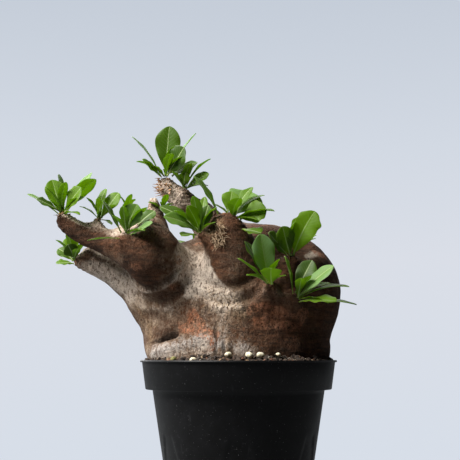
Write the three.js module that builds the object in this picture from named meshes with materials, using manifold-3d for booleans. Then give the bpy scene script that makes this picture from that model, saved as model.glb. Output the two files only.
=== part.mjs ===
// A pachypodium in a black nursery pot: a swollen, branching trunk with tufts of leaves,
// rooted in a slit-sided plastic pot that is filled to the lip.
// Millimetres, +Z up. The origin is the centre of the pot's flat underside, and -Y is the front.
import * as THREE from "three";
import { mergeVertices } from "three/addons/utils/BufferGeometryUtils.js";
import Module from "manifold-3d";

// ---------------------------------------------------------------- driving dimensions
const CLEARANCE = 0.3; // between any two pieces that rest on or in each other

const POT = {
  height: 105,
  lipRadius: 60, // the thin flange at the very top
  lipThickness: 1.2,
  bandTopRadius: 58.8, // the deep band below the lip
  bandBottomRadius: 56.6,
  bandDepth: 17.4,
  bodyTopRadius: 52.3,
  baseRadius: 38.6,
  wall: 1.4,
  floor: 1.6,
  footChamfer: 1.2,
  segments: 64,
};

const SLIT = {
  count: 6,
  width: 3,
  height: 24, // up the wall from the base
  inset: 11, // inwards across the floor from the wall
};

const SOIL = {
  belowLip: 1.6, // the level of the mix at the pot's wall
  crown: 2.6, // how far it's heaped up against the trunk
  crownShare: 0.86, // of the mouth's radius, where the heap starts
};

const TRUNK = {
  rootDepth: 20, // how far the swollen base goes down below the lip
  potGap: 1.8, // between the trunk and the pot's wall where it is widest
  blend: 9, // radius of the hollows where limbs meet
  cell: 4.5, // size of one facet
};

const LEAF = {
  thickness: 0.5,
  petioleWidth: 1.3,
  petioleShare: 0.14, // of the leaf's length
  fold: 14, // degrees that each half rises from the midrib
  arch: 26, // degrees that the midrib turns from base to tip
  stations: 7,
};

const PELLET = { length: 4.2, width: 3.3 };

// ---------------------------------------------------------------- the trunk's form
// Heights from here on are above the pot's lip. A lobe is an ellipsoid, and a limb runs
// through points that each give x, y, z and its radius there.
const LOBES = [
  { at: [0, 0, 2], size: [57, 42, 34] },
  { at: [5, 3, 28], size: [53, 40, 36] },
  { at: [31, 5, 42], size: [32, 34, 33] },
  { at: [14, 9, 58], size: [36, 29, 27] },
  { at: [-22, 8, 51], size: [30, 25, 25] },
];

const LIMBS = {
  low_left: [
    [-37, 4, 16, 22.5],
    [-54, 4, 37, 13],
    [-70, 4, 50, 9.5],
    [-83, 2, 57.5, 7.5],
    [-93, 0, 61, 5.6],
    [-98, -1, 60, 4.4],
  ],
  low_left_stub: [
    [-90, 1, 60, 6],
    [-92, 0, 68, 3.6],
  ],
  left_bulge: [
    [-34, -2, 44, 21],
    [-52, -21, 61, 15.5],
    [-56, -22, 65, 15],
  ],
  far_left: [
    [-56, -21, 65, 15],
    [-72, -20, 68, 8.6],
    [-82, -17, 71, 6.4],
    [-91, -15, 74.5, 5.9],
    [-99, -14, 78.5, 5.5],
    [-105, -14, 83, 4.5],
    [-107.5, -14, 86.5, 3.6],
  ],
  left_top_spur: [
    [-85, -15, 74, 5.5],
    [-85.8, -12, 84.5, 3.4],
  ],
  left_front_spur: [
    [-65, -24, 68, 8],
    [-67.5, -32, 71, 3.8],
  ],
  left_knob: [
    [-67, -16, 76, 6],
    [-68, -12, 91, 3.3],
  ],
  left_upright: [
    [-52, -17, 66, 15],
    [-51, -11, 80, 7.5],
    [-52, -8, 92, 4.8],
    [-52.5, -7, 99, 3.6],
  ],
  top: [
    [10, 16, 60, 21],
    [-10, 16, 77, 12.5],
    [-24, 13, 91, 8.6],
    [-36, 10, 101, 7],
    [-45, 8, 108.5, 5.8],
    [-46.5, 8, 112, 4.8],
  ],
  top_spur: [
    [-35, 9, 100, 6],
    [-36, 5, 104, 3.2],
  ],
  middle: [
    [2, -14, 44, 27],
    [-2, -22, 54, 18],
    [-5, -28, 66, 12.6],
    [-7.5, -31, 77, 9.6],
  ],
  middle_left_spur: [
    [-12, -30, 68, 7],
    [-22, -34, 73.5, 3.4],
  ],
  right_low_spur: [
    [16, -27, 35, 14],
    [18, -42, 41.5, 4.4],
  ],
  right_high: [
    [27, -20, 44, 13],
    [29.5, -27, 52, 8],
    [30.6, -31, 56.5, 4.8],
  ],
  right_edge_spur: [
    [28, -24, 28, 16],
    [31.5, -39.5, 34, 4.8],
  ],
  back_left: [
    [-14, 22, 48, 18],
    [-22, 38, 59, 8.5],
    [-25, 45, 66, 4.4],
  ],
  back_right: [
    [22, 24, 38, 18],
    [27, 41, 51, 8.5],
    [29, 48, 57, 4.4],
  ],
};

// ---------------------------------------------------------------- the leaves
// Each tuft grows round a point inside a limb's end. A leaf's reach runs from there to its tip,
// and face is the way its upper side looks.
const TUFTS = {
  far_left: {
    at: [-107.5, -14, 86.5],
    leaves: [
      { reach: [-21, -5, 13], face: [0.3, -0.3, 0.9], width: 9 },
      { reach: [-14, -11, 9], face: [0.4, -0.4, 0.8], width: 9 },
      { reach: [-7, 5, 24], face: [0.2, -0.9, 0.3], width: 11 },
      { reach: [-5, 12, 29], face: [0.9, -0.1, 0.4], width: 9 },
      { reach: [13, -8, 17], face: [-0.45, -0.8, 0.4], width: 14 },
      { reach: [21, -3, 23], face: [-0.4, 0.6, 0.5], width: 10 },
      { reach: [16, 14, 30], face: [-0.6, -0.7, 0.4], width: 9 },
    ],
  },
  left_top: {
    at: [-85.8, -12, 84.5],
    leaves: [
      { reach: [12, 4, 18], face: [-0.3, -0.85, 0.4], width: 9 },
      { reach: [0, -13, 11], face: [0.2, -0.7, 0.6], width: 11 },
      { reach: [9, 15, 12], face: [-0.4, -0.5, 0.7], width: 8 },
    ],
  },
  left_front: {
    at: [-67.5, -32, 71],
    leaves: [
      { reach: [-13, -4, 22], face: [0.75, -0.35, 0.5], width: 9 },
      { reach: [8, -6, 20], face: [-0.2, -0.95, 0.25], width: 11 },
      { reach: [18, -11, 8], face: [-0.2, -0.6, 0.75], width: 9 },
      { reach: [18, 6, 17], face: [-0.3, -0.85, 0.4], width: 9 },
      { reach: [-20, -13, -3], face: [-0.1, -0.15, 1], width: 9 },
    ],
  },
  low_left: {
    at: [-99, -1, 59.5],
    leaves: [
      { reach: [-8, 8, 17], face: [0.2, -0.9, 0.3], width: 8 },
      { reach: [-14, 5, 9], face: [0.3, -0.8, 0.5], width: 8 },
      { reach: [-5, -9, 11], face: [-0.2, -0.8, 0.5], width: 8 },
      { reach: [-13, -6, -1], face: [-0.1, -0.6, 0.8], width: 8 },
    ],
  },
  top: {
    at: [-46.5, 8, 112],
    leaves: [
      { reach: [3.5, -2, 36], face: [-0.1, -1, 0], width: 16.5 },
      { reach: [-22, 3, 30], face: [0.75, -0.2, 0.6], width: 9 },
      { reach: [-14, -9, 13], face: [0.4, -0.6, 0.6], width: 8 },
      { reach: [20, 10, 34], face: [-0.75, -0.4, 0.4], width: 9 },
      { reach: [13, -13, 20], face: [-0.3, -0.9, 0.4], width: 13 },
      { reach: [21, -3, 12], face: [-0.3, -0.75, 0.6], width: 9 },
    ],
  },
  top_side: {
    at: [-36, 5, 104],
    leaves: [
      { reach: [3, -7, 13], face: [-0.1, -0.95, 0.3], width: 7 },
      { reach: [18, -5, 12], face: [-0.4, -0.75, 0.5], width: 9 },
    ],
  },
  middle_left: {
    at: [-22, -34, 73.5],
    leaves: [
      { reach: [-22, -10, 9], face: [0.2, -0.65, 0.7], width: 9 },
      { reach: [-25, 4, 17], face: [0.3, -0.85, 0.4], width: 8 },
      { reach: [-8, -8, 16], face: [0.2, -0.85, 0.45], width: 8 },
      { reach: [4, -3, 17], face: [-0.2, -0.9, 0.3], width: 8 },
      { reach: [-11, -12, -3], face: [-0.3, -0.6, 0.7], width: 8 },
    ],
  },
  middle: {
    at: [-7.5, -31, 78],
    leaves: [
      { reach: [-20, -4, 30], face: [0.7, -0.45, 0.55], width: 10 },
      { reach: [3, 3, 22], face: [0.1, -0.95, 0.2], width: 9 },
      { reach: [16, 14, 23], face: [-0.1, -0.85, 0.5], width: 14 },
      { reach: [24, -7, 10], face: [-0.2, -0.9, 0.4], width: 14 },
      { reach: [20, -15, -6], face: [0, -0.35, 0.95], width: 9 },
    ],
  },
  right_low: {
    at: [18, -42, 41.5],
    leaves: [
      { reach: [-6, -4, 31], face: [0.1, -0.95, 0.3], width: 13 },
      { reach: [-15, 1, 27], face: [0.7, -0.5, 0.5], width: 9 },
      { reach: [-19, -16, 15], face: [0.2, -0.4, 0.9], width: 10 },
      { reach: [0, -22, 9], face: [0, 0.3, 1], width: 12 },
    ],
  },
  right_high: {
    at: [30.6, -31, 56.5],
    leaves: [
      { reach: [14, -4, 31], face: [-0.15, -0.98, 0.1], width: 15 },
      { reach: [-6, -9, 21], face: [0.2, -0.9, 0.35], width: 10 },
      { reach: [-14, -12, 17], face: [0.45, -0.75, 0.5], width: 10 },
    ],
  },
  right_edge: {
    at: [31.5, -39.5, 34],
    leaves: [
      { reach: [-6, -9, 25], face: [0.85, -0.25, 0.35], width: 9 },
      { reach: [23, -11, 19], face: [-0.45, -0.7, 0.6], width: 10 },
      { reach: [11, 2, 24], face: [-0.3, -0.9, 0.2], width: 10 },
      { reach: [23, -17, -2], face: [0.1, -0.5, 0.9], width: 11 },
      { reach: [36, -6, -3], face: [0, -0.15, 1], width: 10 },
    ],
  },
  back_left: {
    at: [-25, 45, 66],
    leaves: [
      { reach: [-16, 10, 14], face: [0.5, -0.2, 0.8], width: 10 },
      { reach: [6, 19, 14], face: [-0.1, -0.5, 0.8], width: 11 },
    ],
  },
  back_right: {
    at: [29, 48, 57],
    leaves: [
      { reach: [16, 12, 12], face: [-0.5, -0.2, 0.8], width: 10 },
      { reach: [-6, 17, 16], face: [0.2, -0.6, 0.7], width: 11 },
    ],
  },
};

// Loose pellets of slow fertiliser in front of the trunk: the angle round the pot from straight
// ahead (to the right is positive), and the way each lies.
const PELLETS = [
  { around: -7, heading: 40 },
  { around: 6.5, heading: -35 },
  { around: 14, heading: 10 },
  { around: 26, heading: 80 },
];

// ---------------------------------------------------------------- materials
const finish = (color, roughness) =>
  new THREE.MeshStandardMaterial({ color, roughness, metalness: 0 });
const potPlastic = finish(0x16171a, 0.5);
const soilMix = finish(0x33261c, 0.95);
const bark = finish(0x7d6b5e, 0.85);
const leafGreen = finish(0x3f7420, 0.45);
const pelletCream = finish(0xcfc492, 0.7);

// ---------------------------------------------------------------- solids and geometries
const wasm = await Module();
wasm.setup();

function solidOf(geometry) {
  const bare = geometry.clone();
  bare.deleteAttribute("normal");
  bare.deleteAttribute("uv");
  const merged = mergeVertices(bare, 1e-4);
  return new wasm.Manifold(
    new wasm.Mesh({
      numProp: 3,
      vertProperties: merged.attributes.position.array,
      triVerts: new Uint32Array(merged.index.array),
    }),
  );
}

function geometryOf(solid) {
  const { vertProperties, triVerts } = solid.getMesh();
  const geometry = new THREE.BufferGeometry();
  geometry.setAttribute(
    "position",
    new THREE.BufferAttribute(new Float32Array(vertProperties), 3),
  );
  geometry.setIndex(new THREE.BufferAttribute(new Uint32Array(triVerts), 1));
  geometry.computeVertexNormals();
  return geometry;
}

function lathe(profile) {
  const outline = profile.map(([r, z]) => new THREE.Vector2(r, z));
  const geometry = new THREE.LatheGeometry(outline, POT.segments);
  geometry.rotateX(Math.PI / 2);
  return geometry;
}

const part = new THREE.Group();

function add(name, geometry, material) {
  const mesh = new THREE.Mesh(geometry, material);
  mesh.name = name;
  part.add(mesh);
  return mesh;
}

// ---------------------------------------------------------------- the pot
// The inside follows the outside at the wall's thickness, with the floor across it.
const bandBottom = POT.height - POT.bandDepth;
const taper = (POT.bodyTopRadius - POT.baseRadius) / bandBottom;
const innerProfile = (gap) => [
  [0, POT.floor + gap],
  [POT.baseRadius + taper * POT.floor - POT.wall - gap, POT.floor + gap],
  [POT.bodyTopRadius - POT.wall - gap, bandBottom + POT.wall + gap],
  [POT.bandBottomRadius - POT.wall - gap, bandBottom + POT.wall + gap],
  [POT.bandTopRadius - POT.wall - gap, POT.height],
];

// The radius of the pot's inside at a height, for what has to fit in it.
function insideRadius(z) {
  const [, foot, step, shelf, mouth] = innerProfile(0);
  const [low, high] = z < shelf[1] ? [foot, step] : [shelf, mouth];
  return THREE.MathUtils.mapLinear(z, low[1], high[1], low[0], high[0]);
}

function potSolid() {
  const outer = [
    [0, 0],
    [POT.baseRadius - POT.footChamfer, 0],
    [POT.baseRadius, POT.footChamfer],
    [POT.bodyTopRadius, bandBottom],
    [POT.bandBottomRadius, bandBottom],
    [POT.bandTopRadius, POT.height - POT.lipThickness],
    [POT.lipRadius, POT.height - POT.lipThickness],
    [POT.lipRadius, POT.height],
  ];
  let pot = solidOf(lathe([...outer, ...innerProfile(0).reverse()]));
  const outside = POT.baseRadius + taper * SLIT.height;
  const inner = POT.baseRadius - SLIT.inset;
  const slit = new THREE.BoxGeometry(
    outside - inner + POT.wall,
    SLIT.width,
    2 * SLIT.height,
  );
  slit.translate((outside + POT.wall + inner) / 2, 0, 0);
  for (let i = 0; i < SLIT.count; i++) {
    const turned = slit.clone();
    turned.rotateZ(-Math.PI / 2 + (2 * Math.PI * i) / SLIT.count);
    pot = pot.subtract(solidOf(turned));
  }
  return pot;
}

add("pot", geometryOf(potSolid()), potPlastic);

// ---------------------------------------------------------------- the trunk as one blended skin
const { max, min, hypot, sqrt } = Math;

// Distance to an ellipsoid, near enough close to its surface.
function toLobe([x, y, z], { at, size }) {
  const dx = x - at[0];
  const dy = y - at[1];
  const dz = z - at[2];
  const k0 = hypot(dx / size[0], dy / size[1], dz / size[2]);
  const k1 = hypot(dx / size[0] ** 2, dy / size[1] ** 2, dz / size[2] ** 2);
  return k1 > 0 ? (k0 * (k0 - 1)) / k1 : -min(...size);
}

// Distance to a straight piece of limb whose radius changes evenly between its ends.
function toSegment([x, y, z], [ax, ay, az, ar], [bx, by, bz, br]) {
  const ex = bx - ax;
  const ey = by - ay;
  const ez = bz - az;
  const along = (x - ax) * ex + (y - ay) * ey + (z - az) * ez;
  const t = min(1, max(0, along / (ex * ex + ey * ey + ez * ez)));
  return (
    hypot(x - ax - t * ex, y - ay - t * ey, z - az - t * ez) - (ar + t * (br - ar))
  );
}

// The nearer of two surfaces, with a fillet where they meet.
function blended(a, b, radius) {
  const h = max(radius - Math.abs(a - b), 0) / radius;
  return min(a, b) - (h * h * radius) / 4;
}

// How far a point, with its height above the lip, lies outside the trunk.
function trunkField(p) {
  let d = Infinity;
  for (const lobe of LOBES) {
    const next = toLobe(p, lobe);
    d = d === Infinity ? next : blended(d, next, TRUNK.blend);
  }
  for (const points of Object.values(LIMBS)) {
    for (let i = 0; i + 1 < points.length; i++) {
      const next = toSegment(p, points[i], points[i + 1]);
      const thin = min(points[i][3], points[i + 1][3]);
      d = blended(d, next, min(TRUNK.blend, max(TRUNK.cell, 0.8 * thin)));
    }
  }
  // Below the lip the swollen base has grown to the pot's shape, and it widens freely above.
  const [x, y, z] = p;
  const wall = insideRadius(POT.height + z - TRUNK.cell) - TRUNK.potGap;
  const pastWall = hypot(x, y) - wall - max(0, z) * (0.5 + z / 80);
  const below = -z - TRUNK.rootDepth;
  return -blended(blended(-d, -pastWall, TRUNK.cell), -below, TRUNK.blend);
}

// A cell's eight corners are the bits of a number: x, y and z are bits 0, 1 and 2 of the corner's
// own number. Whether the corners set in a mask join up along the cell's edges:
function joined(mask) {
  let reached = mask & -mask;
  for (let round = 0; round < 8; round++)
    for (let c = 0; c < 8; c++)
      if ((mask >> c) & 1 && [1, 2, 4].some((bit) => (reached >> (c ^ bit)) & 1))
        reached |= 1 << c;
  return reached === mask;
}
const SIMPLE = Array.from({ length: 256 }, (_, mask) => joined(mask) && joined(255 - mask));
const CORNERS = [0, 1, 2, 3, 4, 5, 6, 7].map((c) => [c & 1, (c >> 1) & 1, c >> 2]);
const EDGES = [1, 2, 4].flatMap((bit) =>
  [0, 1, 2, 3, 4, 5, 6, 7].filter((c) => !(c & bit)).map((c) => [c, c | bit]),
);

// The surface where a field is zero, as one closed mesh: a vertex for each cell of a grid that
// the surface crosses, and a quad round each crossed edge.
function skin(field, low, high, cell) {
  const n = low.map((v, axis) => Math.ceil((high[axis] - v) / cell) + 1);
  const stride = [1, n[0], n[0] * n[1]];
  const offset = CORNERS.map(([x, y, z]) => x * stride[0] + y * stride[1] + z * stride[2]);
  const value = new Float64Array(n[0] * n[1] * n[2]);
  const points = [];
  for (let k = 0; k < n[2]; k++)
    for (let j = 0; j < n[1]; j++)
      for (let i = 0; i < n[0]; i++) {
        points.push([low[0] + i * cell, low[1] + j * cell, low[2] + k * cell]);
        value[points.length - 1] = field(points[points.length - 1]);
      }
  const cells = [];
  for (let k = 0; k + 1 < n[2]; k++)
    for (let j = 0; j + 1 < n[1]; j++)
      for (let i = 0; i + 1 < n[0]; i++)
        cells.push(i * stride[0] + j * stride[1] + k * stride[2]);
  const maskOf = (at) =>
    offset.reduce((mask, o, c) => mask | (value[at + o] < 0 ? 1 << c : 0), 0);

  // Where two sheets of the surface would meet in one cell, the gap between them is filled.
  for (let tangled = true; tangled; ) {
    tangled = false;
    for (const at of cells) {
      if (SIMPLE[maskOf(at)]) continue;
      const outside = offset.filter((o) => value[at + o] >= 0);
      outside.sort((a, b) => value[at + a] - value[at + b]);
      value[at + outside[0]] = -cell / 4;
      tangled = true;
    }
  }

  const positions = [];
  const vertexOf = new Map();
  for (const at of cells) {
    const mask = maskOf(at);
    if (mask === 0 || mask === 255) continue;
    const mean = [0, 0, 0];
    let crossings = 0;
    for (const [a, b] of EDGES) {
      const va = value[at + offset[a]];
      const vb = value[at + offset[b]];
      if (va < 0 === vb < 0) continue;
      const t = va / (va - vb);
      CORNERS[a].forEach((v, axis) => (mean[axis] += v + t * (CORNERS[b][axis] - v)));
      crossings++;
    }
    const p = points[at].map((v, axis) => v + (cell * mean[axis]) / crossings);
    // One step along the field's slope brings the vertex onto the surface itself.
    const probe = cell / 8;
    const slope = [0, 1, 2].map((axis) => {
      const [ahead, behind] = [1, -1].map((way) =>
        field(p.map((v, other) => (other === axis ? v + way * probe : v))),
      );
      return (ahead - behind) / (2 * probe);
    });
    const steep = max(0.5, hypot(...slope));
    const step = THREE.MathUtils.clamp(field(p) / steep, -cell / 3, cell / 3);
    vertexOf.set(at, positions.length / 3);
    positions.push(...p.map((v, axis) => v - (step * slope[axis]) / steep));
  }

  const indices = [];
  for (const at of cells)
    for (const axis of [0, 1, 2]) {
      const inside = value[at] < 0;
      if (inside === value[at + stride[axis]] < 0) continue;
      const u = stride[(axis + 1) % 3];
      const v = stride[(axis + 2) % 3];
      const ring = [at, at - u, at - u - v, at - v].map((one) => vertexOf.get(one));
      const [a, b, c, d] = inside ? ring : ring.reverse();
      indices.push(a, b, c, a, c, d);
    }
  const geometry = new THREE.BufferGeometry();
  geometry.setAttribute("position", new THREE.Float32BufferAttribute(positions, 3));
  geometry.setIndex(indices);
  return geometry;
}

// The box that holds the trunk, with room round it for the grid.
function trunkBox() {
  const low = [Infinity, Infinity, -TRUNK.rootDepth];
  const high = [-Infinity, -Infinity, -Infinity];
  const grow = (at, size) =>
    at.slice(0, 3).forEach((v, axis) => {
      if (axis < 2) low[axis] = min(low[axis], v - size[axis]);
      high[axis] = max(high[axis], v + size[axis]);
    });
  LOBES.forEach(({ at, size }) => grow(at, size));
  Object.values(LIMBS)
    .flat()
    .forEach((p) => grow(p, [p[3], p[3], p[3]]));
  const room = 2.5 * TRUNK.cell;
  return [low.map((v) => v - room), high.map((v) => v + room)];
}

const trunkSkin = skin(trunkField, ...trunkBox(), TRUNK.cell);
trunkSkin.translate(0, 0, POT.height);
const trunk = solidOf(trunkSkin);

// A copy of the skin moved out along its normals, to cut what meets the trunk. Folds bring the
// two nearer to each other than the move, so it's more than the clearance.
function swollen(geometry, by) {
  const copy = geometry.clone();
  copy.computeVertexNormals();
  const { position, normal } = copy.attributes;
  for (let i = 0; i < position.array.length; i++)
    position.array[i] += by * normal.array[i];
  return copy;
}

const trunkCutter = solidOf(swollen(trunkSkin, 1.5 * CLEARANCE));
add("trunk", geometryOf(trunk), bark);

// ---------------------------------------------------------------- the soil
const soilLevel = POT.height - SOIL.belowLip;

function soilSolid() {
  const mouth = insideRadius(soilLevel) - CLEARANCE;
  const below = innerProfile(CLEARANCE).slice(0, -1);
  const top = [
    [mouth, soilLevel],
    [SOIL.crownShare * mouth, soilLevel + SOIL.crown],
    [0, soilLevel + SOIL.crown],
  ];
  return solidOf(lathe([...below, ...top])).subtract(trunkCutter);
}

const soil = soilSolid();
add("soil", geometryOf(soil), soilMix);

// ---------------------------------------------------------------- leaves
const vector = (list) => new THREE.Vector3(...list);

// Half the blade's width at a share t of the leaf's length, as a share of its widest.
function bladeShare(t) {
  const u = (t - LEAF.petioleShare) / (1 - LEAF.petioleShare);
  return u <= 0 ? 0 : Math.sin(Math.PI * u ** 1.25) ** 0.75 || 0;
}

// A leaf from the origin to (length, 0, 0), its upper side towards +Z: one sheet that is
// folded a little along its midrib and arched along its length.
function leafGeometry(length, width) {
  const half = LEAF.thickness / 2;
  const rise = Math.tan(THREE.MathUtils.degToRad(LEAF.fold));
  const arch = THREE.MathUtils.degToRad(LEAF.arch);
  const arc = (length * (arch / 2)) / Math.sin(arch / 2);
  const positions = [];
  for (let s = 0; s <= LEAF.stations; s++) {
    const t = (0.985 * s) / LEAF.stations;
    const wide = max(LEAF.petioleWidth / 2, (width / 2) * bladeShare(t));
    const w = s === LEAF.stations ? LEAF.petioleWidth / 3 : wide;
    const angle = arch * (0.5 - t);
    const x = (arc / arch) * (Math.sin(arch / 2) - Math.sin(angle));
    const z = (arc / arch) * (Math.cos(angle) - Math.cos(arch / 2));
    for (const [side, up] of [
      [0, 1],
      [-1, 1],
      [-1, -1],
      [0, -1],
      [1, -1],
      [1, 1],
    ]) {
      const lift = z + Math.abs(side) * w * rise + up * half;
      positions.push(x, side * w, lift);
    }
  }
  const ring = 6;
  const indices = [];
  for (let s = 0; s < LEAF.stations; s++)
    for (let i = 0; i < ring; i++) {
      const a = s * ring + i;
      const b = s * ring + ((i + 1) % ring);
      indices.push(a, b, b + ring, a, b + ring, a + ring);
    }
  const last = LEAF.stations * ring;
  for (const [a, b, c] of [
    [0, 3, 1],
    [1, 3, 2],
    [0, 5, 3],
    [5, 4, 3],
  ]) {
    indices.push(a, b, c);
    indices.push(last + a, last + c, last + b);
  }
  const geometry = new THREE.BufferGeometry();
  geometry.setAttribute("position", new THREE.Float32BufferAttribute(positions, 3));
  geometry.setIndex(indices);
  return geometry;
}

// Where a ray from inside the trunk leaves it, as a distance from its start.
function wayOut(from, direction) {
  const at = (d) => trunkField(from.clone().addScaledVector(direction, d).toArray());
  let d = 0;
  while (at(d) < 0) d += 0.25;
  return d;
}

// A leaf's solid on a tuft, before it is cut back from the limb that carries it. The whole
// reach is turned by swing about the upright, and the leaf's foot stands on the limb's end away
// from the straight line to the tip by the angle lean, on the side given by around.
function leafSolid(tuft, leaf, { swing, lean, around }) {
  const up = new THREE.Vector3(0, 0, 1);
  const from = vector(tuft.at);
  const reach = vector(leaf.reach).applyAxisAngle(up, swing);
  const normal = vector(leaf.face).applyAxisAngle(up, swing);
  const straight = reach.clone().normalize();
  const side = straight.clone().cross(normal).applyAxisAngle(straight, around);
  const footward = straight.clone().applyAxisAngle(side.normalize(), lean);
  const foot = footward.clone().multiplyScalar(wayOut(from, footward) - 1.5);
  const blade = reach.clone().sub(foot);
  const along = blade.clone().normalize();
  normal.addScaledVector(along, -normal.dot(along)).normalize();
  const frame = new THREE.Matrix4().makeBasis(along, normal.clone().cross(along), normal);
  frame.setPosition(from.add(foot).add(new THREE.Vector3(0, 0, POT.height)));
  return solidOf(leafGeometry(blade.length(), leaf.width).applyMatrix4(frame));
}

const clearOf = (solid, others) =>
  others.every((other) => solid.minGap(other, CLEARANCE) >= CLEARANCE);

// Leaves find room as they open: each takes the first of these ways to stand that clears the
// leaves already there, with the smallest swing and then the smallest lean.
const WAYS = [];
for (const swing of [0, 6, -6, 12, -12, 20, -20, 30, -30, 42, -42, 60, -60])
  for (const lean of [0, 20, 40, 60, 80])
    for (const around of lean ? [0, 60, 120, 180, 240, 300] : [0])
      WAYS.push({
        swing: THREE.MathUtils.degToRad(swing),
        lean: THREE.MathUtils.degToRad(lean),
        around: THREE.MathUtils.degToRad(around),
      });

const placed = [];
for (const [tuftName, tuft] of Object.entries(TUFTS)) {
  tuft.leaves.forEach((leaf, i) => {
    let solid;
    for (const way of WAYS) {
      solid = leafSolid(tuft, leaf, way);
      if (clearOf(solid, placed)) break;
    }
    placed.push(solid);
    // Where a leaf brushes another limb the cut leaves crumbs: the blade is the largest piece.
    const pieces = solid.subtract(trunkCutter).decompose();
    pieces.sort((a, b) => b.volume() - a.volume());
    add(`leaf_${tuftName}_${i + 1}`, geometryOf(pieces[0]), leafGreen);
  });
}

// ---------------------------------------------------------------- pellets on the soil
PELLETS.forEach(({ around, heading }, i) => {
  const angle = THREE.MathUtils.degToRad(around - 90);
  const wall = insideRadius(soilLevel);
  const out = new THREE.Vector3(Math.cos(angle), Math.sin(angle), 0);
  // The trunk's front, found from the wall inwards at the height of the pellets.
  const level = SOIL.crown - SOIL.belowLip + PELLET.width / 2;
  let front = wall;
  while (trunkField([out.x * front, out.y * front, level]) > 0) front -= 0.25;
  const middle = (wall + front) / 2;
  const pellet = new THREE.SphereGeometry(PELLET.width / 2, 10, 6);
  pellet.scale(PELLET.length / PELLET.width, 1, 1);
  pellet.rotateZ(THREE.MathUtils.degToRad(heading));
  const mouth = wall - CLEARANCE;
  const heap = (mouth - middle) / (mouth * (1 - SOIL.crownShare));
  const ground = soilLevel + SOIL.crown * min(1, heap);
  pellet.translate(
    out.x * middle,
    out.y * middle,
    ground + PELLET.width / 2 + CLEARANCE,
  );
  add(`pellet_${i + 1}`, geometryOf(solidOf(pellet)), pelletCream);
});

export default part;
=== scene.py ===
"""A pachypodium in a black nursery pot: bark, leaves, pot, potting mix and studio light.

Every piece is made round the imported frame, in metres, +Z up, with the front towards -Y.
Lengths below are in millimetres where a name or comment doesn't say otherwise, and MM turns
them into metres.
"""

import math

import bmesh
import bpy
import numpy as np
from mathutils.bvhtree import BVHTree
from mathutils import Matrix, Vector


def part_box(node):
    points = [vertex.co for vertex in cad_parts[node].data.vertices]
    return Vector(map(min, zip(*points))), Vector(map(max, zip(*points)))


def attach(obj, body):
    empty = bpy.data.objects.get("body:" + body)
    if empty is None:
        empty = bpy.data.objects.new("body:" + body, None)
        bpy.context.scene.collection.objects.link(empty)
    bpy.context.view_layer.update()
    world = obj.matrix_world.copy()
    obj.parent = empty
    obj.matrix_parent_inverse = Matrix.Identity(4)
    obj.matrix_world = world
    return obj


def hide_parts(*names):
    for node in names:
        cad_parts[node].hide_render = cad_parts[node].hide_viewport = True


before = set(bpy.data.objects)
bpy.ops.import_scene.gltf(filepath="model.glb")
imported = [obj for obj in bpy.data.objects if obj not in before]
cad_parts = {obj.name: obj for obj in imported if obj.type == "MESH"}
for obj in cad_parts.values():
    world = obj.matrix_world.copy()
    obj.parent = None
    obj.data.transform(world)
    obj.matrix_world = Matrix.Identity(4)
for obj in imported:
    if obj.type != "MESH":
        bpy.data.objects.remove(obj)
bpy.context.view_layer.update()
MM = 0.001

# ------------------------------------------------------------------ the camera and the stage
# The plant stands on a plain pale disc in a bright, evenly lit studio: a large soft source
# above on the left, a bright wall behind, and little light from the front.
EYE = np.array([-5.2, -610.0, 107.5]) * MM
TILT = math.radians(7.26)
LENS, SENSOR = 77.37, 36.0

camera = bpy.data.objects.new("camera", bpy.data.cameras.new("camera"))
camera.data.lens, camera.data.sensor_width = LENS, SENSOR
camera.location = EYE
camera.rotation_euler = (math.pi / 2 + TILT, 0, 0)
bpy.context.scene.collection.objects.link(camera)
bpy.context.scene.camera = camera
bpy.context.scene.view_settings.view_transform = "Standard"


class Value:
    """A shader socket that works in Python expressions: each operation adds its Math node."""

    def __init__(self, tree, socket):
        self.tree, self.socket = tree, socket

    def node(self, kind, settings=None, **sockets):
        """Adds a node: its settings first, then the values or links of its sockets, each named
        as in Blender with _ for a space, or by number as i0, i1 and so on."""
        new = self.tree.nodes.new(kind)
        for name, value in (settings or {}).items():
            if name == "stops":
                ramp = new.color_ramp
                while len(ramp.elements) < len(value):
                    ramp.elements.new(1.0)
                for element, (place, colour) in zip(ramp.elements, value):
                    element.position, element.color = place, (*colour, 1.0)
            else:
                setattr(new, name, value)
        for name, value in sockets.items():
            number = name[1:]
            key = int(number) if name[0] == "i" and number.isdigit() else name.replace("_", " ")
            self.feed(new.inputs[key], value)
        return new

    def feed(self, socket, value):
        """Links a pattern or another node's socket to a socket, or sets it to a constant."""
        source = value.socket if isinstance(value, Value) else value
        if isinstance(source, bpy.types.NodeSocket):
            self.tree.links.new(source, socket)
        else:
            socket.default_value = source

    def maths(self, operation, *terms):
        inputs = {f"i{i}": term for i, term in enumerate(terms)}
        node = self.node("ShaderNodeMath", {"operation": operation}, **inputs)
        return Value(self.tree, node.outputs[0])

    def __add__(self, other):
        return self.maths("ADD", self, other)

    def __sub__(self, other):
        return self.maths("SUBTRACT", self, other)

    def __rsub__(self, other):
        return self.maths("SUBTRACT", other, self)

    def __mul__(self, other):
        return self.maths("MULTIPLY", self, other)

    __radd__, __rmul__ = __add__, __mul__

    def within(self, low, high):
        """0 below low and 1 above high, with a smooth rise between."""
        settings = {"interpolation_type": "SMOOTHSTEP"}
        sockets = {"Value": self, "From_Min": low, "From_Max": high}
        return Value(self.tree, self.node("ShaderNodeMapRange", settings, **sockets).outputs[0])


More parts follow.
